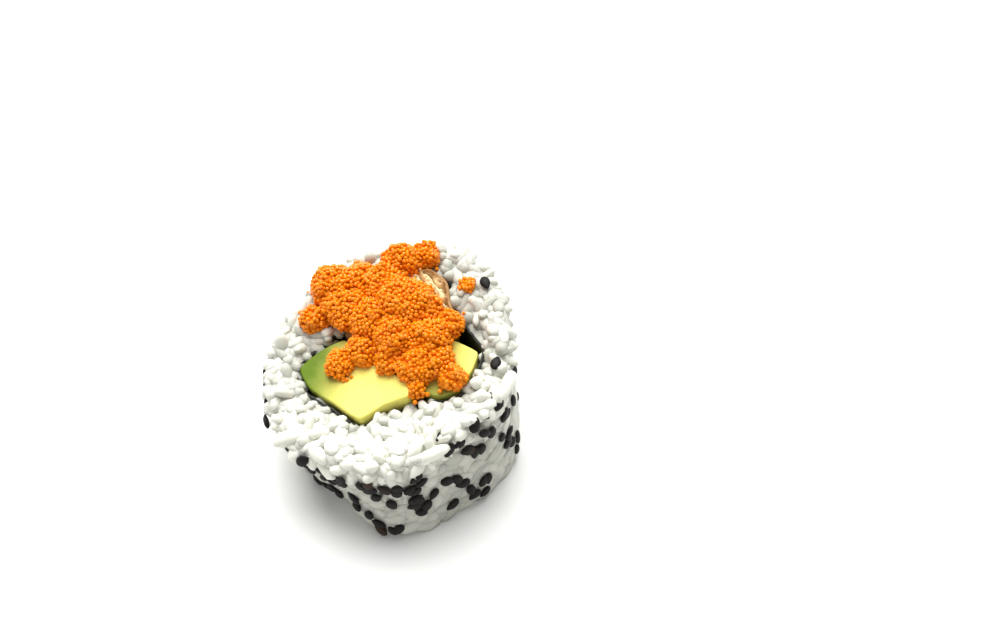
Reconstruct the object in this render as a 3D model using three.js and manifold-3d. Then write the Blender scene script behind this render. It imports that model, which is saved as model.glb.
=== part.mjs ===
// One piece of an inside-out sushi roll (uramaki): a thick ring of rice with black sesame pressed into
// its wall, a sheet of nori inside it, two avocado slices and a battered prawn in the nori, and a heap of
// fish roe on top. The piece stands on its straight cut. Its upper cut slants, so one side is lower, and
// the column leans a little. Millimetres, +Z up, +Y towards the tall side. The origin is on the base,
// under the middle of the bounding box. Plan points are measured from the roll's axis, at the slanted cut.
import * as THREE from "three";
import { mergeVertices } from "three/addons/utils/BufferGeometryUtils.js";
import Module from "manifold-3d";

const wasm = await Module();
wasm.setup();

// ---- Driving dimensions -------------------------------------------------------------------------
const AXIS_AT = [0.8, -0.2]; // where the roll's axis meets the base, from the origin
const FACE_HEIGHT = 21; // height of the slanted cut on the axis
const FACE_RISE = [0.15, 0.1]; // its rise for each millimetre along +X and +Y
const GAP = 0.35; // free space between touching pieces
const ROUNDNESS = 0.4; // of a plan outline between its points

// The rice's outline: its radius every 30 degrees from +X, at the slanted cut and at the base.
const RIM_RADII = [23, 25.4, 28.6, 28, 27.2, 26.8, 26.1, 26.6, 25.3, 25, 22, 23.7];
const FOOT_RADII = [25, 24.6, 24.8, 24.8, 24.4, 23.4, 22, 22.4, 21.8, 27.8, 25.9, 26.3];
const RIM_ROUNDING = 2.4;
const FOOT_ROUNDING = 1.2;
const RICE_LUMP = 0.9; // depth of the uneven places in the pressed rice
const FILLING_LEAN = [2.2, 0.4]; // how far the filling's foot lies from its place at the cut
const FILLING_TAPER = 0.95; // size of the filling's foot against its size at the cut

// Plan outlines, anticlockwise, as smooth closed curves through these points.
const NORI_OUTLINE = [
  [17.4, 0.8], [14.4, 5.6], [11.8, 11.5], [10.8, 17], [6.6, 20.8], [-0.6, 20.1], [-6.8, 15.4],
  [-11, 8.9], [-15.5, 4.7], [-20, 0.3], [-17.6, -4.8], [-12.2, -9.1], [-6.4, -13.5], [-1.6, -11.4],
  [5.5, -9.9], [13.4, -8.6], [16.2, -3.8],
];
const AVOCADO_LEFT_OUTLINE = [
  [-19.3, 0.3], [-17, -4.5], [-11.9, -8.6], [-6.4, -13], [-1.6, -10.8], [3.2, -9.6], [3.8, -7.6],
  [0.8, -4.7], [-2.6, -1.4], [-6.6, 2.6], [-10.6, 5.6], [-15, 4.2],
];
const AVOCADO_RIGHT_OUTLINE = [
  [16.5, 0.3], [11.4, 3.7], [6, 4.7], [2.8, 0.6], [3.9, -4.2], [6.3, -7.8], [9.2, -9], [12.8, -8],
  [15.5, -3.7],
];
const PRAWN_OUTLINE = [
  [12.4, 6.2], [11.1, 11.4], [10.1, 16.6], [6.1, 20], [-0.5, 19.3], [-6.3, 14.7], [-10.3, 8.5],
  [-9.8, 6.2], [-5.4, 2.7], [-1, -1.2], [1.2, -1.8], [1.9, 1.6], [4.6, 5.6], [8.4, 5.6],
];
const FILLING_FOOT = 0.3; // height of the fillings' underside over the base
const AVOCADO_EDGE = { rounding: 0.4, roundness: 0.26 }; // sharp corners and a crisp cut
const PRAWN_EDGE = { rounding: 0.6, roundness: ROUNDNESS };
const NORI_THICKNESS = 0.5;

// How many points each outline is sampled with.
const RICE_COUNT = 52;
const NORI_COUNT = 60;
const AVOCADO_LEFT_COUNT = 36;
const AVOCADO_RIGHT_COUNT = 27;
const PRAWN_COUNT = 36;
const BED_COUNT = 22;

// Grain, seed and egg at true size: length, width and thickness, or radius.
const GRAIN = [6.2, 2.5, 2.1];
const SEED = [3.1, 2, 1];
const EGG_RADIUS = 0.6;
const FACE_GRAINS = 170; // tried over the square round the roll; the ring of rice keeps a part
const WALL_GRAINS = 32;
const EGGS_ON_A_CLUMP = 11; // tried on each clump; its free surface keeps a part
const FACE_GRAIN_SUNK = 0.2; // share of the thickness that is sunk into the surface
const WALL_GRAIN_SUNK = 0.25;
const SEED_SUNK = 0.1;
const EGG_REACH = 0.98; // an egg's middle, as a share of its clump's half size
const EGGS_START_OVER_CUT = 4; // height over the cut below which the clumps have no eggs

// Drifts of sesame on the wall: angle and its spread in degrees, share of the height and its spread,
// and count.
const SEED_DRIFTS = [
  [185, 24, 0.62, 0.7, 7], [215, 22, 0.42, 0.5, 11], [238, 30, 0.52, 0.8, 11], [268, 24, 0.5, 0.8, 14],
  [298, 30, 0.62, 0.7, 12], [330, 30, 0.7, 0.55, 11], [5, 34, 0.7, 0.55, 9], [50, 50, 0.55, 0.9, 9],
  [105, 56, 0.5, 0.9, 10], [155, 40, 0.55, 0.9, 9],
];

// The roe's clumps: place in plan, height of the middle over the cut, then half sizes across and up.
const CLUMPS = [
  [-16.8, 10.6, 1.4, 3.4, 2.8], [-13.2, 17.4, 2.8, 5, 4], [-7.4, 18, 2.4, 4.4, 3.6],
  [-9.6, 11.4, 2.6, 5, 4],
  [-2.6, 15.6, 3, 5.4, 4.2], [0.8, 21.8, 2.8, 4.2, 3.4], [5.8, 23.4, 1.8, 3, 2.6], [-4.6, 8, 3, 5.2, 4.2],
  [2, 10.4, 4, 6, 4.6], [5.8, 8.8, 2.6, 4.2, 3.4], [11, 6.4, 1.6, 3.2, 2.6], [0.6, 3.6, 3.4, 5.2, 4.2],
  [7, 2.8, 2.6, 4.6, 3.8], [-6, 1.6, 2, 3.8, 2.8], [-10.8, -0.4, 1.6, 3.2, 2.6], [8.8, -2.2, 2, 3.6, 3],
  [11.6, -5.8, 1.6, 2.9, 2.4], [4.4, -3.4, 2.6, 4, 3], [-0.8, -1.2, 2.4, 3.2, 2.6], [4.4, -7.8, 1.8, 2, 1.9],
];

// ---- Curves and outlines ------------------------------------------------------------------------
const TURN = 2 * Math.PI;
const GOLDEN_ANGLE = Math.PI * (3 - Math.sqrt(5));
const radians = (degrees) => (degrees * Math.PI) / 180;
const mix = (a, b, share) => a + (b - a) * share;
const faceHeight = (x, y) => FACE_HEIGHT + FACE_RISE[0] * x + FACE_RISE[1] * y;

// Evenly scattered numbers between 0 and 1, one sequence for each way: multiples of powers of the
// plastic ratio.
const SPREADS = [0.7548776662, 0.5698402911, 0.4301597089];
const spread = (i, way) => (0.5 + i * SPREADS[way]) % 1;

// Smooth periodic curve through equally spaced values (Catmull-Rom), at an angle.
function radiusAt(radii, angle) {
  const n = radii.length;
  const place = (((angle / TURN) % 1) + 1) * n;
  const i = Math.floor(place);
  const t = place - i;
  const [a, b, c, d] = [-1, 0, 1, 2].map((k) => radii[(i + k) % n]);
  return b + 0.5 * t * (c - a + t * (2 * a - 5 * b + 4 * c - d + t * (3 * (b - c) + d - a)));
}

// Samples of a smooth closed plan curve, moved outwards by grow.
function planCurve(outline, count, grow = 0, roundness = ROUNDNESS) {
  const knots = outline.map(([x, y]) => new THREE.Vector3(x, y, 0));
  const curve = new THREE.CatmullRomCurve3(knots, true, "catmullrom", roundness);
  const points = curve.getPoints(count).slice(0, count);
  return points.map((p, i) => {
    const along = points[(i + 1) % count].clone().sub(points[(i + count - 1) % count]).normalize();
    return [p.x + along.y * grow, p.y - along.x * grow];
  });
}

// True where a closed outline holds a plan point.
function holds(points, [x, y]) {
  return points.reduce((inside, [ax, ay], i) => {
    const [bx, by] = points[(i + 1) % points.length];
    return ay > y !== by > y && x < ax + ((bx - ax) * (y - ay)) / (by - ay) ? !inside : inside;
  }, false);
}

// A plan point of the filling, carried down the leaning column to a share of the height.
function down([x, y], share) {
  const scale = mix(FILLING_TAPER, 1, share);
  return [x * scale + FILLING_LEAN[0] * (1 - share), y * scale + FILLING_LEAN[1] * (1 - share)];
}

// A plan point of the rice's wall at an angle and a share of the height.
function wallPlan(angle, share, grow = 0) {
  const r = mix(radiusAt(FOOT_RADII, angle), radiusAt(RIM_RADII, angle), share) + grow;
  return [r * Math.cos(angle), r * Math.sin(angle)];
}

// ---- Meshes and solids --------------------------------------------------------------------------
// A closed surface from rows of points, each row a ring. The last row joins the first, or both ends are
// capped.
function ringGeometry(rows, capped) {
  const n = rows[0].length;
  const points = rows.flat();
  const faces = [];
  for (let r = 0; r < rows.length - (capped ? 1 : 0); r++)
    for (let i = 0; i < n; i++) {
      const [here, next] = [r * n, ((r + 1) % rows.length) * n];
      const j = (i + 1) % n;
      faces.push(here + i, here + j, next + j, here + i, next + j, next + i);
    }
  if (capped)
    [0, rows.length - 1].forEach((r) => {
      points.push([0, 1, 2].map((k) => rows[r].reduce((sum, p) => sum + p[k], 0) / n));
      for (let i = 0; i < n; i++) {
        const side = [r * n + i, r * n + ((i + 1) % n)];
        faces.push(...(r ? side : side.reverse()), points.length - 1);
      }
    });
  return new THREE.BufferGeometry()
    .setAttribute("position", new THREE.Float32BufferAttribute(points.flat(), 3))
    .setIndex(faces);
}

// A solid from a closed geometry, whose equal points are merged first.
function solidOf(geometry) {
  const bare = geometry.clone();
  bare.deleteAttribute("normal");
  bare.deleteAttribute("uv");
  const merged = mergeVertices(bare, 1e-4);
  return new wasm.Manifold(
    new wasm.Mesh({
      numProp: 3,
      vertProperties: new Float32Array(merged.attributes.position.array),
      triVerts: new Uint32Array(merged.index.array),
    }),
  );
}

// A column on a plan outline, from a flat foot to a top given by a function of the place.
function column(points, foot, top) {
  const rows = [points.map(([x, y]) => [x, y, foot]), points.map(([x, y]) => [x, y, top(x, y)])];
  return solidOf(ringGeometry(rows, true));
}

// The largest body of a solid, without the loose scraps and the hollows that fusing leaves.
const largestBody = (solid) => solid.decompose().reduce((a, b) => (b.volume() > a.volume() ? b : a));

// A named mesh of a solid, with its colour.
function meshOf(name, solid, color, roughness) {
  const { vertProperties, triVerts } = solid.getMesh();
  const geometry = new THREE.BufferGeometry()
    .setAttribute("position", new THREE.BufferAttribute(vertProperties, 3))
    .setIndex(new THREE.BufferAttribute(triVerts, 1));
  const mesh = new THREE.Mesh(geometry, new THREE.MeshStandardMaterial({ color, roughness, metalness: 0 }));
  mesh.name = name;
  return mesh;
}

// ---- Grains, seeds and eggs ---------------------------------------------------------------------
// A closed spindle along Y from pairs of radius and place, as shares of its size, flattened along Z.
function spindle([length, width, thickness], shares, sides) {
  const profile = shares.map(([radius, along]) => new THREE.Vector2((radius * width) / 2, along * length));
  return new THREE.LatheGeometry(profile, sides).scale(1, 1, thickness / width);
}
const grainShape = spindle(GRAIN, [[0, -0.5], [0.8, -0.32], [1, 0], [0.8, 0.32], [0, 0.5]], 5);
const seedShape = spindle(SEED, [[0, -0.5], [0.95, -0.18], [0.8, 0.2], [0, 0.5]], 5);
const eggShape = new THREE.IcosahedronGeometry(EGG_RADIUS, 0);

// A small shape laid on a surface and sunk into it, its long way turned about the surface's normal.
function laidOn(shape, { place, normal }, turn, sunk) {
  const up = new THREE.Vector3(...normal).normalize();
  const aside = new THREE.Vector3(up.y, -up.x, up.z > 0.9 ? 1 : 0);
  const along = aside.cross(up).normalize().applyAxisAngle(up, turn);
  const basis = new THREE.Matrix4().makeBasis(along.clone().cross(up), along, up);
  basis.setPosition(new THREE.Vector3(...place).addScaledVector(up, -sunk));
  return solidOf(shape.clone().applyMatrix4(basis));
}

// A spot on the wall: its place and its outward normal, at an angle and a share of the height.
function onWall(angle, share) {
  const [x, y] = wallPlan(angle, share);
  const [ax, ay] = wallPlan(angle + 0.05, share);
  return { place: [x, y, share * faceHeight(x, y)], normal: [ay - y, x - ax, 0] };
}

// Spots spread evenly over the ring of rice on the cut, clear of the nori and of the roe.
function faceSpots() {
  const reach = Math.max(...RIM_RADII);
  const margin = GAP + GRAIN[0] / 2;
  const hole = planCurve(NORI_OUTLINE, NORI_COUNT, margin);
  const across = (i, way) => reach * (2 * spread(i, way) - 1);
  return Array.from({ length: FACE_GRAINS }, (_, i) => [across(i, 0), across(i, 1)])
    .filter(([x, y]) => Math.hypot(x, y) < radiusAt(RIM_RADII, Math.atan2(y, x)) - 0.5 * RIM_ROUNDING)
    .filter((spot) => !holds(hole, spot))
    .map(([x, y]) => ({ place: [x, y, faceHeight(x, y)], normal: [-FACE_RISE[0], -FACE_RISE[1], 1] }))
    .filter(({ place }) => !inRoe(place, margin));
}

// True where a clump of roe, grown by a margin, holds the point.
function inRoe([x, y, z], margin, skipped) {
  return CLUMPS.some((clump) => {
    const [cx, cy, lift, across, tall] = clump;
    const aside = Math.hypot(x - cx, y - cy) / (across + margin);
    const above = (z - faceHeight(cx, cy) - lift) / (tall + margin);
    return clump !== skipped && Math.hypot(aside, above) < 1;
  });
}

// ---- Sub-parts ----------------------------------------------------------------------------------
// The bare ring of rice: base, uneven wall with rounded edges, slanted cut and the inside against the
// nori.
function riceCore() {
  const inner = planCurve(NORI_OUTLINE, RICE_COUNT, NORI_THICKNESS + GAP);
  const angles = inner.map(([x, y]) => Math.atan2(y, x));
  const outside = (share, inset, height) =>
    angles.map((angle, i) => {
      const lump = RICE_LUMP * (spread(i * 7 + Math.round(share * 10) * 3, 1) - 0.5);
      const [x, y] = wallPlan(angle, share, lump - inset);
      return [x, y, height(x, y)];
    });
  const arc = [0, 45, 90].map(radians);
  const foot = arc.map((a) => {
    const [inset, height] = [Math.sin(a), Math.cos(a)].map((v) => FOOT_ROUNDING * (1 - v));
    return outside(0, inset, () => height);
  });
  const wall = [0.25, 0.45, 0.65].map((share) =>
    outside(share, 0, (x, y) => share * faceHeight(x, y)),
  );
  const rim = arc.map((a) => {
    const [drop, inset] = [Math.sin(a), Math.cos(a)].map((v) => RIM_ROUNDING * (1 - v));
    return outside(1, inset, (x, y) => faceHeight(x, y) - drop);
  });
  const cut = inner.map((p, i) => {
    const [x, y] = wallPlan(angles[i], 1, -RIM_ROUNDING).map((v, k) => mix(p[k], v, 0.5));
    return [x, y, faceHeight(x, y) + RICE_LUMP * (spread(i * 7, 0) - 0.5)];
  });
  const hole = [1, 0].map((share) =>
    inner.map((p) => {
      const [x, y] = down(p, share);
      return [x, y, share * faceHeight(x, y)];
    }),
  );
  return solidOf(ringGeometry([...foot, ...wall, ...rim, cut, ...hole], false));
}

// The rice with its grains and sesame fused on, cut flat at the base.
function rice() {
  const grains = [
    ...faceSpots().map((spot, i) =>
      laidOn(grainShape, spot, TURN * spread(i, 2), FACE_GRAIN_SUNK * GRAIN[2]),
    ),
    ...Array.from({ length: WALL_GRAINS }, (_, i) => {
      const spot = onWall(TURN * spread(i, 0), mix(0.1, 0.95, spread(i, 1)));
      return laidOn(grainShape, spot, TURN * spread(i, 2), WALL_GRAIN_SUNK * GRAIN[2]);
    }),
  ];
  const seeds = SEED_DRIFTS.flatMap(([angle, angleSpread, share, shareSpread, count]) =>
    Array.from({ length: count }, (_, i) => {
      const turned = radians(angle + angleSpread * (spread(i, 0) - 0.5));
      const spot = onWall(turned, share + shareSpread * (spread(i, 1) - 0.5));
      return laidOn(seedShape, spot, TURN * spread(i, 2), SEED_SUNK * SEED[2]);
    }),
  );
  const fused = [...grains, ...seeds].reduce((whole, piece) => whole.add(piece), riceCore());
  const reach = 4 * FACE_HEIGHT;
  const floor = solidOf(new THREE.BoxGeometry(reach, reach, reach).translate(0, 0, -reach / 2));
  return largestBody(fused.subtract(floor));
}

// A filling that runs through the roll: an outline carried down the column, with a rounded edge at the
// cut, a rise over the cut and a relief on it, both functions of the place.
function filling(outline, count, { rounding, roundness }, rise, relief = () => 0) {
  const topOf = (x, y) => faceHeight(x, y) + rise(x, y);
  const edge = planCurve(outline, count, 0, roundness);
  const inset = planCurve(outline, count, -rounding, roundness);
  const level = (points, share, drop) =>
    points.map((p) => [...down(p, share), mix(FILLING_FOOT, topOf(...p) - drop, share)]);
  const middle = [0, 1].map((k) => edge.reduce((sum, p) => sum + p[k], 0) / count);
  const top = [1, 0.66, 0.33].map((share) =>
    inset.map((p) => {
      const [x, y] = p.map((v, k) => mix(middle[k], v, share));
      return [x, y, topOf(x, y) + relief(x, y)];
    }),
  );
  return solidOf(ringGeometry([level(edge, 0, 0), level(edge, 1, rounding), ...top], true));
}

// How far each filling and the nori stand over the cut, and the prawn's flakes.
const avocadoLeftRise = (x) => Math.max(0.4, 0.6 + 0.12 * (x + 13));
const avocadoRightRise = () => 0.5;
const prawnRise = (x, y) => 1.4 + 0.06 * (x + y - 10);
const prawnFlakes = (x, y) => 0.45 * Math.sin(1.9 * x - 0.9 * y);
const noriRise = (x, y) =>
  -0.2 + 0.7 * Math.exp(-Math.hypot(x - 15, y - 4) / 5) + 0.2 * Math.sin(1.3 * x + y);

// The nori: a thin ring that stands a little over the cut, most at the tall side.
function nori() {
  const row = (offset, share) =>
    planCurve(NORI_OUTLINE, NORI_COUNT, offset).map((p) => {
      const top = faceHeight(...p) + noriRise(...p);
      return [...down(p, share), mix(FILLING_FOOT, top, share)];
    });
  const rows = [row(NORI_THICKNESS, 0), row(NORI_THICKNESS, 1), row(0, 1), row(0, 0)];
  return solidOf(ringGeometry(rows, false));
}

// What the roe lies on, grown by the gap: the bare rice, the nori with all that it holds, and the proud
// fillings.
function roeBed() {
  const over = (rise) => (x, y) => faceHeight(x, y) + rise(x, y) + GAP;
  const coarse = (outline, grow) => planCurve(outline, BED_COUNT, grow);
  const reach = 2 * FACE_HEIGHT;
  const square = [[-reach, -reach], [reach, -reach], [reach, reach], [-reach, reach]];
  return [
    column(square, 0, over(() => 0.2)),
    column(coarse(NORI_OUTLINE, NORI_THICKNESS + 2 * GAP), 0, over((x, y) => noriRise(x, y) + 0.3)),
    column(coarse(AVOCADO_LEFT_OUTLINE, 2 * GAP), 0, over((x) => avocadoLeftRise(x) + 0.1)),
    column(coarse(PRAWN_OUTLINE, 2 * GAP), 0, over((x, y) => prawnRise(x, y) + 0.5)),
  ].reduce((whole, piece) => whole.add(piece));
}

// The roe: clumps fused into one heap and fitted to its bed, with eggs spread over it.
function roe() {
  const heap = CLUMPS.map(([x, y, lift, across, tall], i) =>
    solidOf(
      new THREE.IcosahedronGeometry(1, 1)
        .rotateZ(i)
        .scale(across, across, tall)
        .translate(x, y, faceHeight(x, y) + lift),
    ),
  ).reduce((whole, clump) => whole.add(clump));
  const places = CLUMPS.flatMap((clump) =>
    Array.from({ length: EGGS_ON_A_CLUMP }, (_, i) => {
      const [cx, cy, lift, across, tall] = clump;
      const up = 1 - (1.3 * (i + 0.5)) / EGGS_ON_A_CLUMP; // from the top to a little under the middle
      const flat = EGG_REACH * Math.sqrt(1 - up * up) * across;
      const [x, y] = [cx + flat * Math.cos(GOLDEN_ANGLE * i), cy + flat * Math.sin(GOLDEN_ANGLE * i)];
      return [x, y, faceHeight(cx, cy) + lift + EGG_REACH * tall * up];
    }).filter((p) => !inRoe(p, 0, clump) && p[2] > faceHeight(p[0], p[1]) + EGGS_START_OVER_CUT),
  );
  const eggs = places.map(([x, y, z]) => solidOf(eggShape.clone().translate(x, y, z)));
  return largestBody(eggs.reduce((whole, egg) => whole.add(egg), heap.subtract(roeBed())));
}

// ---- The piece ----------------------------------------------------------------------------------
const avocadoLeft = filling(AVOCADO_LEFT_OUTLINE, AVOCADO_LEFT_COUNT, AVOCADO_EDGE, avocadoLeftRise);
const avocadoRight = filling(AVOCADO_RIGHT_OUTLINE, AVOCADO_RIGHT_COUNT, AVOCADO_EDGE, avocadoRightRise);
const prawn = filling(PRAWN_OUTLINE, PRAWN_COUNT, PRAWN_EDGE, prawnRise, prawnFlakes);
const roll = new THREE.Group();
roll.add(
  meshOf("rice", rice(), 0xe9eae4, 0.45),
  meshOf("nori", nori(), 0x14160f, 0.6),
  meshOf("avocado_left", avocadoLeft, 0xd9d65e, 0.4),
  meshOf("avocado_right", avocadoRight, 0xcfd268, 0.4),
  meshOf("battered_prawn", prawn, 0xe6c98a, 0.6),
  meshOf("roe", roe(), 0xf07a12, 0.2),
);
roll.position.set(...AXIS_AT, 0);

export default roll;
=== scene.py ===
"""Dresses one piece of an inside-out sushi roll (uramaki).

The rice becomes single grains over a core, with black sesame pressed into the wall. The nori, the two
avocado slices and the battered prawn are made again with finer forms, and the heap of fish roe becomes
single eggs over a core. Shapes are worked out in millimetres from the roll's axis, and put into the
frame's metres when a mesh is made.

A field whose name ends in _over holds where a change starts and where it is complete, and one that
ends in _spread holds the smallest and the largest share of a size. A field of type
Lumps holds the distance between two lumps, a seed and a height.
"""

import logging
from dataclasses import dataclass, field
from enum import Enum
from functools import reduce

import bpy
import numpy as np
from mathutils import Euler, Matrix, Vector


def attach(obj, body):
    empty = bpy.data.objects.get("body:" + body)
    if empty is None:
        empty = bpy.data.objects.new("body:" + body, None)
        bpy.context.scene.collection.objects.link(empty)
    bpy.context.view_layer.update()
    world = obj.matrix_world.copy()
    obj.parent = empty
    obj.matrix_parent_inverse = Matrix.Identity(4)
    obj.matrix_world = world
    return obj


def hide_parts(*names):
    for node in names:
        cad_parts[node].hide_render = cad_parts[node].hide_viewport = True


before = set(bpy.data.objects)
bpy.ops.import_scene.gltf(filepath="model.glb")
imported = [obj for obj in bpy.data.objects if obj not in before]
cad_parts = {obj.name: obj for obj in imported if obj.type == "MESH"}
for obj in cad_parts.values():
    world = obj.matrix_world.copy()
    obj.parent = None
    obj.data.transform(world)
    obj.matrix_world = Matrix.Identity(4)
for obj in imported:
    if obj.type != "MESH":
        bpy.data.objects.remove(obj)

LOG = logging.getLogger("uramaki")
MM = 0.001
TURN = 2 * np.pi
Array = np.ndarray
Pair = tuple[float, float]
Pairs = tuple[Pair, ...]
Size = tuple[float, float, float]
Colour = tuple[float, float, float]
Lumps = tuple[float, int, float]


# ---- Scattered numbers, curves and outlines ------------------------------------------------------
# One step of each scatter, as a fraction of the way across: the first three powers of one over the
# plastic ratio, which never fall into rows.
SPREADS = (0.7548776662, 0.5698402911, 0.4301597089)


def spread(count: int, way: int, start: int = 0) -> Array:
    """Gives evenly scattered numbers between 0 and 1: the fractional parts of whole multiples of a step.

    Args:
        count: how many numbers.
        way: which of the steps, one for each direction.
        start: the multiple to start from.

    Returns:
        The numbers, one after another.
    """
    return (0.5 + (np.arange(count) + start) * SPREADS[way]) % 1.0


def mix(a: Array | float, b: Array | float, share: Array | float) -> Array | float:
    """Goes from a at share 0 to b at share 1 on a straight line."""
    return a + (b - a) * share


def smooth_step(value: Array, low: float, high: float) -> Array:
    """Rises from 0 at low to 1 at high with level ends: 3 t squared minus 2 t cubed."""
    t = np.clip((value - low) / (high - low), 0, 1)
    return t * t * (3 - 2 * t)


def unit(vectors: Array) -> Array:
    """Gives the vectors along the last axis at length 1."""
    return vectors / np.maximum(np.linalg.norm(vectors, axis=-1, keepdims=True), 1e-12)


LUMP_WAVES = 14
LUMP_RATES = (0.6, 1.4)
LUMP_HEIGHT = 0.8


def lumps(points: Array, *layers: Lumps) -> Array:
    """Gives an uneven height: for each layer, a sum of plane sine waves in seeded directions.

    Args:
        points: places, with x, y and z along the last axis.
        layers: each layer's rough distance between two lumps, its seed and its rough height.

    Returns:
        One height for each place.
    """
    height = np.zeros(points.shape[:-1])
    for size, seed, depth in layers:
        draw = np.random.default_rng(seed)
        ways = unit(draw.normal(size=(LUMP_WAVES, 3))) * (TURN / size)
        ways *= draw.uniform(*LUMP_RATES, (LUMP_WAVES, 1))
        waves = np.sin(points @ ways.T + draw.uniform(0, TURN, LUMP_WAVES))
        height += depth * LUMP_HEIGHT * waves.sum(-1) / np.sqrt(LUMP_WAVES)
    return height


def closed_curve(knots: Pairs, count: int, grow: float = 0.0, tension: float = 0.4) -> Array:
    """Samples a smooth closed plan curve through its knots and moves it outwards.

    Each stretch is a cubic whose slope at a knot is the tension times the way from the knot before to
    the one after.

    Args:
        knots: the plan points that the curve goes through, anticlockwise.
        count: how many samples.
        grow: how far outwards the samples move.
        tension: how round the curve is.

    Returns:
        The samples, as count rows of x and y.
    """
    points = np.array(knots, float)
    place = np.arange(count) / count * len(points)
    at = place.astype(int)
    t = (place - at)[:, None]
    a, b, c, d = (points[(at + k) % len(points)] for k in (-1, 0, 1, 2))
    slope_b, slope_c = tension * (c - a), tension * (d - b)
    curve = b + t * slope_b + t**2 * (3 * (c - b) - 2 * slope_b - slope_c)
    curve += t**3 * (2 * (b - c) + slope_b + slope_c)
    along = unit(np.roll(curve, -1, 0) - np.roll(curve, 1, 0))
    return curve + grow * np.stack([along[:, 1], -along[:, 0]], 1)


def holds(outline: Array, points: Array) -> Array:
    """Tells which plan points lie in a closed outline: a ray from each crosses it an odd number of times.

    Args:
        outline: rows of x and y.
        points: rows of x and y.

    Returns:
        True or False for each point.
    """
    ax, ay = outline.T
    bx, by = np.roll(outline, -1, 0).T
    x, y = points[:, :1], points[:, 1:2]
    level = np.where(by == ay, 1e-9, by - ay)
    crossed = ((ay > y) != (by > y)) & (x < ax + (bx - ax) * (y - ay) / level)
    return crossed.sum(1) % 2 == 1


@dataclass(frozen=True)
class Column:
    """The roll's leaning column: its slanted cut, and the rice's wall between the base and the rim."""

    axis_at: Pair = (0.8, -0.2)
    face_height: float = 21.0
    face_rise: Pair = (0.15, 0.1)
    rim_radii: tuple[float, ...] = (23, 25.4, 28.6, 28, 27.2, 26.8, 26.1, 26.6, 25.3, 25, 22, 23.7)
    foot_radii: tuple[float, ...] = (25, 24.6, 24.8, 24.8, 24.4, 23.4, 22, 22.4, 21.8, 27.8, 25.9, 26.3)
    rim_rounding: float = 2.4
    foot_rounding: float = 1.2
    filling_lean: Pair = (2.2, 0.4)
    filling_taper: float = 0.95

    def face(self, x: Array, y: Array) -> Array:
        """Gives the height of the slanted cut over a plan point."""
        return self.face_height + self.face_rise[0] * x + self.face_rise[1] * y

    def face_normal(self) -> Array:
        """Gives the direction out of the slanted cut."""
        return unit(np.array([-self.face_rise[0], -self.face_rise[1], 1.0]))

    def radius(self, radii: tuple[float, ...], angle: Array) -> Array:
        """Gives a smooth periodic curve through equally spaced radii (Catmull-Rom cubics).

        Args:
            radii: one radius for each equal step from +X.
            angle: where to read the curve, in radians.

        Returns:
            The radius at each angle.
        """
        values = np.array(radii, float)
        place = (angle / TURN % 1.0) * len(values)
        at = np.floor(place).astype(int)
        t = place - at
        a, b, c, d = (values[(at + k) % len(values)] for k in (-1, 0, 1, 2))
        return b + 0.5 * t * (c - a + t * (2 * a - 5 * b + 4 * c - d + t * (3 * (b - c) + d - a)))

    def wall(self, angle: Array, share: Array, grow: Array | float = 0.0) -> Array:
        """Gives points of the rice's wall.

        The radius goes on a straight line from the foot's to the rim's, and the height is a share of
        the cut's.

        Args:
            angle: the way round from +X, in radians.
            share: the share of the height, from 0 at the base.
            grow: how far outwards the point moves.

        Returns:
            x, y and z along the last axis.
        """
        r = mix(self.radius(self.foot_radii, angle), self.radius(self.rim_radii, angle), share) + grow
        x, y = r * np.cos(angle), r * np.sin(angle)
        return np.stack([x, y, share * self.face(x, y)], -1)

    def wall_normal(self, angle: Array, share: Array) -> Array:
        """Gives the wall's outward direction, across its tangents round the wall and up it.

        Args:
            angle: the way round from +X, in radians.
            share: the share of the height, from 0 at the base.

        Returns:
            The directions, at length 1.
        """
        step = 0.02
        around = self.wall(angle + step, share) - self.wall(angle - step, share)
        up = self.wall(angle, share + step) - self.wall(angle, share - step)
        return unit(np.cross(around, up))

    def outside(self, angle: Array, share: Array) -> tuple[Array, Array]:
        """Gives points of the wall, which turn in over the rim's quarter circle near a share of one.

        Args:
            angle: the way round from +X, in radians.
            share: the share of the height, from 0 at the base to 1 on top of the rim's rounding.

        Returns:
            The points, and the directions out of the rice there.
        """
        start = 1 - self.rim_rounding / self.face_height
        bend = np.clip((share - start) / (1 - start), 0, 1) * np.pi / 2
        normals = self.wall_normal(angle, share) * np.cos(bend)[:, None]
        normals[:, 2] += np.sin(bend)
        over = share > start
        places = self.wall(angle, np.where(over, 1.0, share), -self.rim_rounding * (1 - np.cos(bend)))
        places[:, 2] -= over * self.rim_rounding * (1 - np.sin(bend))
        return places, unit(normals)

    def down(self, plan: Array, share: Array | float) -> Array:
        """Carries a filling's plan points down the leaning column to a share of the height."""
        share = np.asarray(share)[..., None]
        return plan * mix(self.filling_taper, 1, share) + np.array(self.filling_lean) * (1 - share)


COLUMN = Column()


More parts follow.
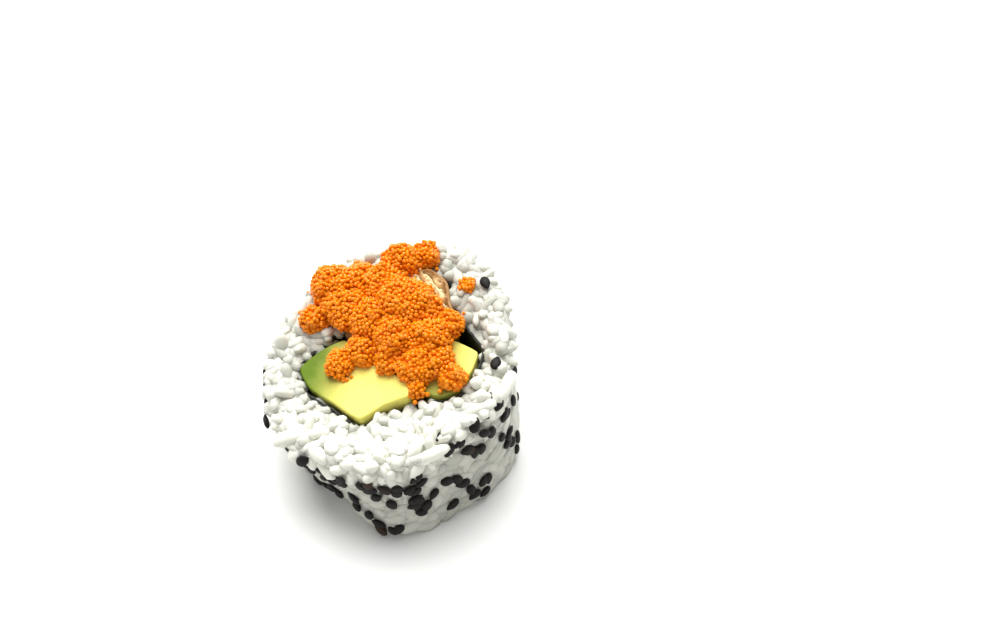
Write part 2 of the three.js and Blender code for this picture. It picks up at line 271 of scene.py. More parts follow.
# ---- Meshes --------------------------------------------------------------------------------------
@dataclass
class Surface:
    """Points in millimetres with the quads and triangles between them, and named numbers on the points."""

    points: Array
    quads: Array
    triangles: Array
    numbers: dict[str, Array]

    def to_object(self, name: str) -> bpy.types.Object:
        """Makes a smooth mesh object in the frame's metres.

        Args:
            name: the object's name.

        Returns:
            The new object, at the origin and linked to the scene.
        """
        mesh = bpy.data.meshes.new(name)
        placed = (self.points + np.array([*COLUMN.axis_at, 0.0])) * MM
        corners = np.concatenate([self.quads.ravel(), self.triangles.ravel()])
        sizes = np.repeat([4, 3], [len(self.quads), len(self.triangles)])
        mesh.vertices.add(len(placed))
        mesh.vertices.foreach_set("co", placed.astype(np.float32).ravel())
        mesh.loops.add(len(corners))
        mesh.loops.foreach_set("vertex_index", corners.astype(np.int32))
        mesh.polygons.add(len(sizes))
        mesh.polygons.foreach_set("loop_start", (np.cumsum(sizes) - sizes).astype(np.int32))
        mesh.polygons.foreach_set("use_smooth", np.ones(len(sizes), bool))
        mesh.update(calc_edges=True)
        for key, values in self.numbers.items():
            layer = mesh.attributes.new(key, "FLOAT", "POINT")
            layer.data.foreach_set("value", values.astype(np.float32).ravel())
        made = bpy.data.objects.new(name, mesh)
        bpy.context.scene.collection.objects.link(made)
        return made


def ring_surface(rows: Array, capped: bool, numbers: dict[str, Array] | None = None) -> Surface:
    """Closes a grid of points whose rows are rings: the last joins the first, or both ends are capped.

    Args:
        rows: the points as rows, places round the ring, and x, y and z.
        capped: True caps both ends with a fan round their middle.
        numbers: named numbers, one for each point of the grid.

    Returns:
        The closed surface, facing outwards where rings run anticlockwise and rise.
    """
    height, around = rows.shape[:2]
    grid = np.arange(height * around).reshape(height, around)
    above = np.roll(grid, -1, 0)
    quads = np.stack([grid, np.roll(grid, -1, 1), np.roll(above, -1, 1), above], -1)
    quads = quads[: height - 1 if capped else height].reshape(-1, 4)
    points = rows.reshape(-1, 3)
    numbers = {key: values.reshape(-1) for key, values in (numbers or {}).items()}
    if not capped:
        return Surface(points, quads, np.zeros((0, 3), int), numbers)
    first, last = len(points), len(points) + 1
    low = np.stack([np.roll(grid[0], -1), grid[0], np.full(around, first)], 1)
    high = np.stack([grid[-1], np.roll(grid[-1], -1), np.full(around, last)], 1)
    ends = np.stack([rows[0].mean(0), rows[-1].mean(0)])
    numbers = {k: np.append(v, [v[:around].mean(), v[-around:].mean()]) for k, v in numbers.items()}
    return Surface(np.concatenate([points, ends]), quads, np.concatenate([low, high]), numbers)


def ball(sides: int, rings: int) -> Surface:
    """Makes a unit ball with its poles on the Y axis: rings of equal steps in latitude between two poles.

    Args:
        sides: how many points each ring has.
        rings: how many rings there are between the poles.

    Returns:
        The closed ball.
    """
    latitude = np.pi * np.arange(1, rings + 1) / (rings + 1)
    turn = TURN * np.arange(sides) / sides
    flat, up = np.sin(latitude)[:, None], -np.cos(latitude)[:, None]
    rows = np.stack([flat * np.sin(turn), up + 0 * turn, flat * np.cos(turn)], -1)
    made = ring_surface(rows, True)
    made.points[-2:] = [(0, -1, 0), (0, 1, 0)]
    return made


# A surface whose direction has less than this share of Z is steep, and level is found from Z there.
STEEP = 0.9


def frames(normals: Array, turns: Array, tilts: Array | float = 0.0) -> Array:
    """Makes one frame for each laid piece: across, along and up, as the columns of a matrix.

    Along starts level on the surface, is turned about the surface's direction and then tilted out of it.

    Args:
        normals: the surface's directions.
        turns: the turn of each piece about them, in radians.
        tilts: how far each piece's far end lifts out of the surface, in radians.

    Returns:
        One 3 by 3 matrix for each piece.
    """
    up = unit(normals)
    aside = np.where(np.abs(up[:, 2:]) < STEEP, np.array([[0.0, 0, 1]]), np.array([[1.0, 0, 0]]))
    level = unit(np.cross(aside, up))
    turns, tilts = np.asarray(turns)[:, None], np.broadcast_to(tilts, len(up))[:, None]
    flat = np.cos(turns) * level + np.sin(turns) * np.cross(up, level)
    along = np.cos(tilts) * flat + np.sin(tilts) * up
    across = np.cross(flat, up)
    return np.stack([across, along, np.cross(across, along)], -1)


def scatter(
    template: Surface, shapes: Array, bases: Array, places: Array, numbers: dict[str, Array]
) -> Surface:
    """Joins many copies of one small shape.

    Args:
        template: gives the faces of each copy.
        shapes: each copy's own points, as copies by points by 3.
        bases: each copy's frame.
        places: where each copy's own origin goes.
        numbers: named numbers, one for each copy.

    Returns:
        All the copies as one surface.
    """
    points = np.einsum("nij,nvj->nvi", bases, shapes) + places[:, None]
    starts = (np.arange(len(places)) * len(template.points))[:, None, None]
    spread_numbers = {key: np.repeat(values, len(template.points)) for key, values in numbers.items()}
    return Surface(
        points.reshape(-1, 3),
        (template.quads[None] + starts).reshape(-1, 4),
        (template.triangles[None] + starts).reshape(-1, 3),
        spread_numbers,
    )


# ---- Shader recipes ------------------------------------------------------------------------------
class Value:
    """A number that a node gives, used in plain expressions."""

    def __init__(self, recipe: "Recipe", socket: bpy.types.NodeSocket) -> None:
        """Holds the socket and the recipe that it belongs to."""
        self.recipe = recipe
        self.socket = socket

    def math(self, operation: str, *others: "Value | float", first: bool = True) -> "Value":
        """Adds a Math node.

        Args:
            operation: the node's operation.
            others: its other inputs.
            first: True where this value is the first input.

        Returns:
            The node's result.
        """
        inputs = [self, *others] if first else [*others, self]
        return self.recipe.value("ShaderNodeMath", {"operation": operation}, dict(enumerate(inputs)))

    def __add__(self, other: "Value | float") -> "Value":
        """Adds a number."""
        return self.math("ADD", other)

    __radd__ = __add__

    def __sub__(self, other: "Value | float") -> "Value":
        """Takes a number away."""
        return self.math("SUBTRACT", other)

    def __rsub__(self, other: "Value | float") -> "Value":
        """Takes this value away from a number."""
        return self.math("SUBTRACT", other, first=False)

    def __mul__(self, other: "Value | float") -> "Value":
        """Multiplies by a number."""
        return self.math("MULTIPLY", other)

    __rmul__ = __mul__

    def centred(self) -> "Value":
        """Moves a pattern between 0 and 1 down, so that its middle is 0."""
        return self - 0.5

    def clipped(self) -> "Value":
        """Keeps the value between 0 and 1."""
        return self.math("MINIMUM", 1.0).math("MAXIMUM", 0.0)

    def step(self, low: float, high: float) -> "Value":
        """Rises smoothly from 0 at low to 1 at high."""
        inputs = {"Value": self, "From Min": low, "From Max": high}
        return self.recipe.value("ShaderNodeMapRange", {"interpolation_type": "SMOOTHSTEP"}, inputs)


class Recipe:
    """A material and its node tree, built from one Principled shader."""

    def __init__(self, name: str) -> None:
        """Starts an empty tree with its shader and output.

        Args:
            name: the material's name.
        """
        self.material = bpy.data.materials.new(name)
        self.material.use_nodes = True
        self.tree = self.material.node_tree
        self.tree.nodes.clear()
        self.shader = self.node("ShaderNodeBsdfPrincipled")
        self.node("ShaderNodeOutputMaterial", inputs={"Surface": self.shader.outputs[0]})
        self.coordinates = self.node("ShaderNodeTexCoord").outputs["Object"]

    def node(self, kind: str, settings: dict | None = None, inputs: dict | None = None) -> bpy.types.Node:
        """Adds a node.

        Args:
            kind: the node's type.
            settings: its settings, set before its inputs.
            inputs: values or links by the socket's name or number.

        Returns:
            The new node.
        """
        made = self.tree.nodes.new(kind)
        for key, value in (settings or {}).items():
            setattr(made, key, value)
        for key, value in (inputs or {}).items():
            self.feed(made.inputs[key], value)
        return made

    def value(self, kind: str, settings: dict, inputs: dict, output: int | str = 0) -> Value:
        """Adds a node and gives the number at one of its outputs."""
        return Value(self, self.node(kind, settings, inputs).outputs[output])

    def feed(self, socket: bpy.types.NodeSocket, value: object) -> None:
        """Links or sets one socket: a Value or a socket is linked, and a colour gets its alpha.

        Args:
            socket: the input to feed.
            value: a Value, a socket, a colour, a vector or a number.
        """
        if isinstance(value, Value):
            value = value.socket
        if isinstance(value, bpy.types.NodeSocket):
            self.tree.links.new(value, socket)
        elif isinstance(value, tuple) and socket.type == "RGBA":
            socket.default_value = (*value, 1.0)
        else:
            socket.default_value = value

    def attribute(self, name: str) -> Value:
        """Reads a named number of the mesh's points."""
        return self.value("ShaderNodeAttribute", {"attribute_name": name}, {}, "Fac")

    def noise(self, size: float, detail: float = 3.0, rough: float = 0.55) -> Value:
        """Gives a cloudy pattern between 0 and 1.

        Args:
            size: the rough size of its patches, in millimetres.
            detail: how many finer layers it has.
            rough: how strong they are.

        Returns:
            The pattern.
        """
        inputs = {"Vector": self.coordinates, "Scale": 1 / (size * MM)}
        return self.value("ShaderNodeTexNoise", {}, inputs | {"Detail": detail, "Roughness": rough})

    def blend(self, share: Value | float, a: object, b: object) -> bpy.types.NodeSocket:
        """Goes from colour a at share 0 to colour b at share 1."""
        return self.node("ShaderNodeMix", {"data_type": "RGBA"}, {0: share, 6: a, 7: b}).outputs[2]

    def bump(self, height: Value, depth: float, strength: float) -> bpy.types.NodeSocket:
        """Turns a height between 0 and 1 into a direction, for a relief of that depth in millimetres."""
        inputs = {"Height": height, "Distance": depth * MM, "Strength": strength}
        return self.node("ShaderNodeBump", inputs=inputs).outputs[0]

    def finish(self, *inputs: dict) -> bpy.types.Material:
        """Feeds the shader's sockets.

        Args:
            inputs: values or links by the socket's name, in one or more lots.

        Returns:
            The finished material.
        """
        for lot in inputs:
            for key, value in lot.items():
                self.feed(self.shader.inputs[key], value)
        return self.material


@dataclass(frozen=True)
class Scattering:
    """Light that goes in under the skin: how much, how far each colour goes, and its depth in mm."""

    share: float
    reach: Colour
    depth: float

    def inputs(self) -> dict:
        """Gives the shader's inputs."""
        names = ("Subsurface Weight", "Subsurface Radius", "Subsurface Scale")
        return dict(zip(names, (self.share, self.reach, self.depth * MM)))


@dataclass(frozen=True)
class RiceFinish:
    """Moist cooked rice: white, a little translucent, clearer in some grains than in others."""

    white: Colour = (0.86, 0.855, 0.76)
    clear: Colour = (0.45, 0.455, 0.39)
    cloud_size: float = 1.6
    grain_share: float = 0.85
    cloud_share: float = 0.4
    clearer: float = 0.12
    smoothest: float = 0.3
    duller: float = 0.25
    dent_size: float = 0.5
    dent_depth: float = 0.12
    under: Scattering = Scattering(share=0.35, reach=(1.0, 1.0, 1.0), depth=0.9)

    def make(self) -> bpy.types.Material:
        """Builds the material.

        Returns:
            The material, which reads each grain's tone: the grains' own clearness, with painted light and
            painted shade laid into it.
        """
        recipe = Recipe("moist_rice")
        cloudy = recipe.noise(self.cloud_size)
        tone = self.grain_share * recipe.attribute("tone") + self.cloud_share * cloudy - self.clearer
        dents = recipe.noise(self.dent_size, detail=4.0, rough=0.6)
        inputs = {
            "Base Color": recipe.blend(tone.clipped(), self.clear, self.white),
            "Roughness": self.smoothest + self.duller * cloudy,
            "Specular IOR Level": 0.2,
            "Normal": recipe.bump(dents, self.dent_depth, 0.6),
        }
        return recipe.finish(inputs, self.under.inputs())


@dataclass(frozen=True)
class SesameFinish:
    """Black sesame: a dark, finely rough skin, with a few brown seeds."""

    black: Colour = (0.005, 0.0045, 0.0045)
    brown: Colour = (0.035, 0.018, 0.01)
    brown_over: Pair = (0.93, 0.97)
    skin_size: float = 0.25
    skin_depth: float = 0.08
    skin_share: float = 0.15
    smoothest: float = 0.45
    duller: float = 0.2

    def make(self) -> bpy.types.Material:
        """Builds the material.

        Returns:
            The material, which reads each seed's tone.
        """
        recipe = Recipe("black_sesame")
        skin = recipe.noise(self.skin_size, detail=3.0, rough=0.6)
        brown = recipe.attribute("tone").step(*self.brown_over) + self.skin_share * skin
        return recipe.finish(
            {
                "Base Color": recipe.blend(brown.clipped(), self.black, self.brown),
                "Roughness": self.smoothest + self.duller * skin,
                "Specular IOR Level": 0.2,
                "Normal": recipe.bump(skin, self.skin_depth, 0.6),
            }
        )


@dataclass(frozen=True)
class NoriFinish:
    """Damp nori: nearly black with a green cast, finely wrinkled."""

    dark: Colour = (0.004, 0.005, 0.004)
    green: Colour = (0.014, 0.018, 0.008)
    fibre_size: float = 0.8
    fibre_depth: float = 0.25
    smoothest: float = 0.45
    duller: float = 0.3

    def make(self) -> bpy.types.Material:
        """Builds the material.

        Returns:
            The material.
        """
        recipe = Recipe("damp_nori")
        fibres = recipe.noise(self.fibre_size, detail=5.0, rough=0.7)
        return recipe.finish(
            {
                "Base Color": recipe.blend(fibres, self.dark, self.green),
                "Roughness": self.smoothest + self.duller * fibres,
                "Normal": recipe.bump(fibres, self.fibre_depth, 0.8),
            }
        )


@dataclass(frozen=True)
class AvocadoFinish:
    """Ripe avocado flesh: pale yellow inside, turning green towards the skin; on the right slice the green
    also paints the shadow under the roe.
    """

    name: str
    yellow: Colour = (0.84, 0.77, 0.185)
    green: Colour = (0.115, 0.19, 0.011)
    flesh_size: float = 2.6
    flesh_share: float = 0.25
    grain_size: float = 0.5
    grain_share: float = 0.06
    relief_depth: float = 0.18
    relief_grain: float = 0.4
    smoothest: float = 0.4
    duller: float = 0.2
    under: Scattering = Scattering(share=0.25, reach=(1.0, 0.8, 0.2), depth=1.2)

    def make(self) -> bpy.types.Material:
        """Builds the material.

        Returns:
            The material, which reads how green each point is: the flesh's own green, and on the right slice
            also painted shadow.
        """
        recipe = Recipe(self.name)
        flesh = recipe.noise(self.flesh_size, detail=4.0)
        grainy = recipe.noise(self.grain_size, rough=0.5)
        green = recipe.attribute("green") + self.flesh_share * flesh.centred()
        green = green + self.grain_share * grainy.centred()
        inputs = {
            "Base Color": recipe.blend(green.clipped(), self.yellow, self.green),
            "Roughness": self.smoothest + self.duller * flesh,
            "Specular IOR Level": 0.1,
            "Normal": recipe.bump(self.relief_grain * grainy + flesh, self.relief_depth, 0.5),
        }
        return recipe.finish(inputs, self.under.inputs())


@dataclass(frozen=True)
class PrawnFinish:
    """Battered prawn: cream flakes with painted shade in the clefts between them, browned and crusty at its
    edge.
    """

    cream: Colour = (0.88, 0.72, 0.4)
    cleft_shade: Colour = (0.36, 0.17, 0.045)
    crust: Colour = (0.32, 0.16, 0.045)
    grain_size: float = 0.9
    grain_depth: float = 0.3
    cleft_shade_share: float = 0.5
    crust_share: float = 0.6
    smoothest: float = 0.4
    duller: float = 0.35
    under: Scattering = Scattering(share=0.2, reach=(1.0, 0.7, 0.4), depth=1.0)

    def make(self) -> bpy.types.Material:
        """Builds the material.

        Returns:
            The material, which reads how deep in a cleft each point is, for painted shade, and how crusty it
            is.
        """
        recipe = Recipe("battered_prawn_flesh")
        grainy = recipe.noise(self.grain_size, detail=4.0, rough=0.65)
        # Painted shade in the clefts.
        cleft_shade = recipe.attribute("cleft_shade") + self.cleft_shade_share * grainy.centred()
        crusty = recipe.attribute("crust") + self.crust_share * grainy.centred()
        flesh = recipe.blend(cleft_shade.clipped(), self.cream, self.cleft_shade)
        inputs = {
            "Base Color": recipe.blend(crusty.clipped(), flesh, self.crust),
            "Roughness": self.smoothest + self.duller * grainy,
            "Normal": recipe.bump(grainy, self.grain_depth, 0.7),
        }
        return recipe.finish(inputs, self.under.inputs())


@dataclass(frozen=True)
class RoeFinish:
    """Flying-fish roe: translucent orange eggs, some yellower than others, and the dull mass under them."""

    name: str
    roughness: float
    coat: float
    deep: Colour = (0.84, 0.215, 0.001)
    light: Colour = (0.92, 0.28, 0.002)
    patch_size: float = 3.0
    patch_share: float = 0.5
    egg_share: float = 0.8
    deeper: float = 0.15
    under: Scattering = Scattering(share=0.3, reach=(1.0, 0.5, 0.1), depth=0.5)

    def make(self) -> bpy.types.Material:
        """Builds the material.

        Returns:
            The material, which reads each egg's tone.
        """
        recipe = Recipe(self.name)
        patches = recipe.noise(self.patch_size, detail=2.0)
        tone = self.egg_share * recipe.attribute("tone") + self.patch_share * patches - self.deeper
        inputs = {
            "Base Color": recipe.blend(tone.clipped(), self.deep, self.light),
            "Roughness": self.roughness,
            "IOR": 1.34,
            "Coat Weight": self.coat,
            "Coat Roughness": 0.05,
        }
        return recipe.finish(inputs, self.under.inputs())


@dataclass(frozen=True)
class FloorFinish:
    """A plain white table top."""

    white: Colour = (0.8, 0.8, 0.785)
    shade: float = 0.985
    patch_size: float = 40.0

    def make(self) -> bpy.types.Material:
        """Builds the material.

        Returns:
            The material.
        """
        recipe = Recipe("white_table")
        shaded = tuple(self.shade * part for part in self.white)
        patches = recipe.noise(self.patch_size, detail=2.0)
        return recipe.finish(
            {
                "Base Color": recipe.blend(patches, self.white, shaded),
                "Roughness": 0.6,
                "Specular IOR Level": 0.2,
            }
        )


class Node(Enum):
    """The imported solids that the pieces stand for."""

    RICE = "rice"
    NORI = "nori"
    AVOCADO_LEFT = "avocado_left"
    AVOCADO_RIGHT = "avocado_right"
    PRAWN = "battered_prawn"
    ROE = "roe"


def settle(piece: bpy.types.Object, material: bpy.types.Material, node: Node) -> None:
    """Gives a piece its material and its place in the frame.

    Args:
        piece: the finished object.
        material: its finish.
        node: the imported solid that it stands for.
    """
    piece.data.materials.append(material)
    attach(piece, "root")
    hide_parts(node.value)
    LOG.info("%s: %d faces", piece.name, len(piece.data.polygons))


# ---- Rice ----------------------------------------------------------------------------------------
NORI_OUTLINE: Pairs = (
    (17.4, 0.8), (14.4, 5.6), (11.8, 11.5), (10.8, 17), (6.6, 20.8), (-0.6, 20.1), (-6.8, 15.4),
    (-11, 8.9), (-15.5, 4.7), (-20, 0.3), (-17.6, -4.8), (-12.2, -9.1), (-6.4, -13.5), (-1.6, -11.4),
    (5.5, -9.9), (13.4, -8.6), (16.2, -3.8),
)
# How many sides and rings the ball has that a grain or a seed is made from.
GRAIN_STEPS = (10, 6)


@dataclass
class Laid:
    """Where pieces of one kind lie, one row or number for each piece."""

    places: Array
    normals: Array
    turns: Array
    tilts: Array
    tones: Array

    def plus(self, other: "Laid") -> "Laid":
        """Gives both lots as one."""
        return Laid(*(np.concatenate([getattr(self, key), getattr(other, key)]) for key in vars(self)))

    def scattered(self, template: Surface, shapes: Array) -> Surface:
        """Joins one copy of a shape at each place.

        Args:
            template: gives the faces of each copy.
            shapes: each copy's own points.

        Returns:
            All the copies as one surface, with their tones.
        """
        bases = frames(self.normals, self.turns, self.tilts)
        return scatter(template, shapes, bases, self.places, {"tone": self.tones})


@dataclass(frozen=True)
class Lot:
    """How one lot of grains is laid.

    The count is of places that are tried. The lift is that of a grain's middle out of the surface, the
    tilt is in radians, a tone goes from clear at 0 to white at 1, and the stray is how far the surface's
    direction wanders. On the cut, the first tone is by the nori, where the clearer grains are partly
    painted shade, and the last at the rim.
    """

    count: int
    lift: Pair
    tilt: float
    tones: Pair
    stray: float = 0.0


@dataclass(frozen=True)
class SeedRow:
    """A row of seeds on the wall, from one place to another: degrees from +X and share of the height."""

    start: Pair
    end: Pair
    count: int
    scatter: float = 1.0


SEED_ROWS = (
    SeedRow((176, 0.95), (204, 0.6), 9, 0.7),
    SeedRow((212, 0.76), (228, 0.68), 7, 0.6),
    SeedRow((224, 0.52), (236, 0.62), 5, 0.8),
    SeedRow((228, 0.12), (250, 0.3), 8, 0.8),
    SeedRow((234, 0.78), (246, 0.72), 5, 0.7),
    SeedRow((256, 0.82), (269, 0.76), 8, 0.7),
    SeedRow((277, 0.84), (283, 0.4), 7, 0.6),
    SeedRow((272, 0.6), (288, 0.5), 4, 0.9),
    SeedRow((262, 0.14), (270, 0.22), 5, 0.7),
    SeedRow((284, 0.28), (292, 0.2), 2, 0.8),
    SeedRow((299, 0.93), (314, 0.72), 6, 0.7),
    SeedRow((298, 0.56), (304, 0.36), 3, 0.6),
    SeedRow((306, 0.16), (320, 0.28), 5, 0.7),
    SeedRow((319, 0.93), (333, 0.96), 4, 0.5),
    SeedRow((322, 0.84), (334, 0.7), 4, 0.7),
    SeedRow((330, 0.6), (334, 0.3), 4, 0.8),
    SeedRow((346, 0.6), (340, 0.1), 5),
    # This row thins out over nearly the whole way round: it goes by the front, the left and the back.
    SeedRow((350, 0.8), (24, 0.5), 11, 2.0),
    SeedRow((20, 0.2), (60, 0.6), 14, 2.0),
    SeedRow((60, 0.6), (110, 0.3), 16, 2.0),
    SeedRow((105, 0.7), (150, 0.5), 14, 2.0),
    SeedRow((135, 0.2), (180, 0.4), 12, 2.0),
)
# The grains that stick out: x, y, the lift over the cut, and the turn from +X and the tilt in degrees.
PROTRUDING = (
    (-20.2, -15.6, 1.0, 14, 2),
    (-14.6, -15.2, 1.1, 8, -6),
    (22.4, -8.0, 0.9, 70, 8),
    (21.6, 3.4, 0.9, 100, 10),
    (-23.6, -6.6, 0.6, 95, 6),
    (8.6, -21.4, 0.8, 30, 10),
    (-5.2, -23.4, 0.7, 150, 6),
    (13.6, 15.6, 0.9, 60, 15),
)


@dataclass
class Core:
    """The bare ring of rice under the grains, a little sunk, with lumps.

    Its section is the rounded foot, the wall, the rounded rim, the cut and the inside round the nori.
    """

    around: int = 300
    bends: int = 7
    walls: int = 26
    cuts: int = 9
    insides: int = 12
    wall_span: Pair = (0.1, 0.85)
    cut_span: Pair = (0.9, 0.1)
    sink: float = 0.35
    dip: float = 0.9
    inside_drop: float = 1.0
    nori_gap: float = 0.6
    lumps: tuple[Lumps, ...] = ((4.2, 5, 0.22), (1.8, 6, 0.08))
    lumps_over: Pair = (0.3, 3.0)
    tone: float = 0.3
    # Painted shade and light: the core's tone falls in its dips and rises on its lumps.
    lump_shading: float = 0.2

    def rows(self) -> Array:
        """Works out the smooth ring, each row at its own share of the height.

        Returns:
            The points as rows, places round the ring, and x, y and z.
        """
        inner = closed_curve(NORI_OUTLINE, self.around, self.nori_gap)
        angle = np.arctan2(inner[:, 1], inner[:, 0])
        level = 0 * angle
        bends = np.radians(np.linspace(0, 90, self.bends))
        rows = []
        for bend in bends:
            foot = COLUMN.wall(angle, level, -COLUMN.foot_rounding * (1 - np.sin(bend)) - self.sink)
            foot[:, 2] += COLUMN.foot_rounding * (1 - np.cos(bend))
            rows.append(foot)
        for share in np.linspace(*self.wall_span, self.walls):
            rows.append(COLUMN.wall(angle, share + level, -self.sink))
        for bend in bends:
            rim = COLUMN.wall(angle, 1 + level, -COLUMN.rim_rounding * (1 - np.cos(bend)) - self.sink)
            rim[:, 2] -= COLUMN.rim_rounding * (1 - np.sin(bend)) + self.sink
            rows.append(rim)
        edge = rows[-1][:, :2]
        for share in np.linspace(*self.cut_span, self.cuts):
            plan = mix(inner, edge, share)
            height = COLUMN.face(*plan.T) - self.sink - self.dip * (1 - share)
            rows.append(np.column_stack([plan, height]))
        for share in np.linspace(1, 0, self.insides):
            plan = COLUMN.down(inner, share)
            height = share * (COLUMN.face(*plan.T) - self.sink - self.inside_drop)
            rows.append(np.column_stack([plan, height]))
        return np.stack(rows)

    def surface(self) -> Surface:
        """Moves the wall in and out and the cut up and down by the lumps, and leaves the foot still.

        Returns:
            The closed ring.
        """
        grid = self.rows()
        height = lumps(grid, *self.lumps)
        outward = grid[..., :2] / np.linalg.norm(grid[..., :2], axis=-1, keepdims=True)
        wall, top = np.zeros((len(grid), 1)), np.zeros((len(grid), 1))
        wall[: 2 * self.bends + self.walls] = 1
        top[self.bends + self.walls : 1 - self.insides] = 1
        free = smooth_step(grid[..., 2], *self.lumps_over)
        grid[..., :2] += outward * (height * free * wall)[..., None]
        grid[..., 2] += height * top
        # Painted shade: darker where the lumps dip, whiter where they rise.
        return ring_surface(grid, False, {"tone": self.tone + self.lump_shading * height})


@dataclass
class Grains:
    """The grains over the core: pressed flat on the wall by the rolling mat, loose on the cut and the rim.

    Sizes are width, length and thickness. The wall's turns are their mean and how far they stray. The
    loose grains keep clear of the hollow beside the right avocado slice.
    """

    loose_size: Size = (2.9, 6.7, 2.4)
    loose_spread: Pair = (0.72, 1.08)
    loose_side_spread: Pair = (0.9, 1.1)
    loose_dents: float = 0.035
    blunt_ends: float = 0.3
    pressed_size: Size = (3.7, 7.0, 2.0)
    pressed_spread: Pair = (0.8, 1.12)
    pressed_dents: float = 0.03
    cushion: Size = (0.85, 0.9, 0.62)
    bend_down: Pair = (0.0, 0.4)
    bend_aside: Pair = (-0.4, 0.4)
    taper: Pair = (-0.18, 0.18)
    wall_span: Pair = (0.03, 0.94)
    wall_turns: Pair = (0.1, 0.75)
    wall_whitening: float = 0.25
    darkest_wall_side: float = 320.0
    on_wall: Lot = Lot(count=540, lift=(-1.0, -0.72), tilt=0.05, tones=(0.0, 0.5))
    # The clear tones by the nori, on the cut and along it, are partly the grains' translucency and partly
    # painted shade.
    on_cut: Lot = Lot(count=1500, lift=(-0.7, 0.6), tilt=0.4, tones=(0.0, 0.35), stray=0.35)
    on_rim: Lot = Lot(count=180, lift=(-1.4, -0.4), tilt=0.3, tones=(0.25, 0.7))
    by_nori: Lot = Lot(count=90, lift=(-1.5, -0.3), tilt=0.4, tones=(0.0, 0.4), stray=0.25)
    protruding_tones: Pair = (0.8, 1.0)
    pressed_seed: int = 21
    loose_seed: int = 22
    cut_rise: Pair = (-1.3, -0.3)
    cut_rise_over: Pair = (1.0, 5.0)
    cut_tone_stray: float = 0.25
    cut_lumps: Lumps = (6, 24, 0.5)
    rim_gap: float = 1.2
    rim_band: float = 3.2
    rim_turn_stray: float = 0.25
    rim_share: float = 0.9
    rim_start: int = 500
    rim_lumps: Lumps = (8, 9, 0.45)
    nori_gap: float = 1.5
    nori_reach: Pair = (1.6, 2.4)
    nori_turn_stray: float = 0.8
    nori_steps: int = 120
    hollow_at: Pair = (14.0, 4.0)
    hollow_reach: float = 5.2
    # Painted light: the grains of the cut and the rim are painted whiter towards the front, where the cut is
    # lit most.
    front_over: Pair = (0.0, 14.0)
    cut_painted_light: float = 0.6
    rim_painted_light: float = 0.4

    def bent(self, draw: np.random.Generator, shape: Array, sizes: Array, rough: float) -> Array:
        """Gives each grain its own sizes, a bend that grows with the square of the length, and dents.

        Args:
            draw: the random numbers.
            shape: one grain's points at size 1.
            sizes: half the sizes of each grain.
            rough: how deep the dents are, as a share of the size.

        Returns:
            The points of every grain.
        """
        count = len(sizes)
        along = shape[None, :, 1]
        shapes = shape[None] * sizes[:, None] * (1 + draw.normal(0, rough, (count, len(shape), 1)))
        shapes[..., 2] -= draw.uniform(*self.bend_down, (count, 1)) * along**2
        shapes[..., 0] += draw.uniform(*self.bend_aside, (count, 1)) * along**2
        shapes[..., [0, 2]] *= 1 + draw.uniform(*self.taper, (count, 1, 1)) * along[..., None]
        return shapes

    def on_table(self, made: Surface) -> Surface:
        """Flattens what would go through the table."""
        made.points[:, 2] = np.maximum(made.points[:, 2], 0.0)
        return made

    def outside_hollow(self, plan: Array) -> Array:
        """Tells which plan points are clear of the hollow beside the right avocado slice."""
        return np.hypot(*(plan - np.array(self.hollow_at)).T) > self.hollow_reach

    def front(self, places: Array) -> Array:
        """Rises from 0 at the roll's middle to 1 at its front, where the grains get painted light."""
        return smooth_step(-places[:, 1], *self.front_over)

    def pressed(self) -> Surface:
        """Lays the wall's grains: balls stretched to their sizes and flattened into cushions.

        Returns:
            The pressed grains as one surface, flat where they stand on the table.
        """
        draw = np.random.default_rng(self.pressed_seed)
        lot = self.on_wall
        angle = TURN * spread(lot.count, 0)
        places, normals = COLUMN.outside(angle, mix(*self.wall_span, spread(lot.count, 1)))
        places += normals * draw.uniform(*lot.lift, (lot.count, 1))
        turns = draw.normal(*self.wall_turns, lot.count)
        # The wall's grains run darker towards the front right and whiter towards the back left.
        away = 1 - np.cos(angle - np.radians(self.darkest_wall_side))
        tones = draw.uniform(*lot.tones, lot.count) + self.wall_whitening * away
        laid = Laid(places, normals, turns, draw.normal(0, lot.tilt, lot.count), tones)
        template = ball(*GRAIN_STEPS)
        shape = np.sign(template.points) * np.abs(template.points) ** np.array(self.cushion)
        sizes = np.array(self.pressed_size) / 2 * draw.uniform(*self.pressed_spread, (lot.count, 3))
        return self.on_table(laid.scattered(template, self.bent(draw, shape, sizes, self.pressed_dents)))

    def loose(self) -> Surface:
        """Lays the grains of the cut, of the rim and by the nori, and the few that stick out.

        Returns:
            The loose grains as one surface.
        """
        draw = np.random.default_rng(self.loose_seed)
        lots = (self.over_cut(draw), self.over_rim(draw), self.beside_nori(draw), self.protruding(draw))
        laid = reduce(Laid.plus, lots)
        count = len(laid.tones)
        template = ball(*GRAIN_STEPS)
        shape = template.points.copy()
        shape[:, [0, 2]] *= 1 + self.blunt_ends * shape[:, 1:2] ** 2
        sizes = np.array(self.loose_size) / 2 * draw.uniform(*self.loose_spread, (count, 1))
        sizes = sizes * draw.uniform(*self.loose_side_spread, (count, 3))
        return self.on_table(laid.scattered(template, self.bent(draw, shape, sizes, self.loose_dents)))

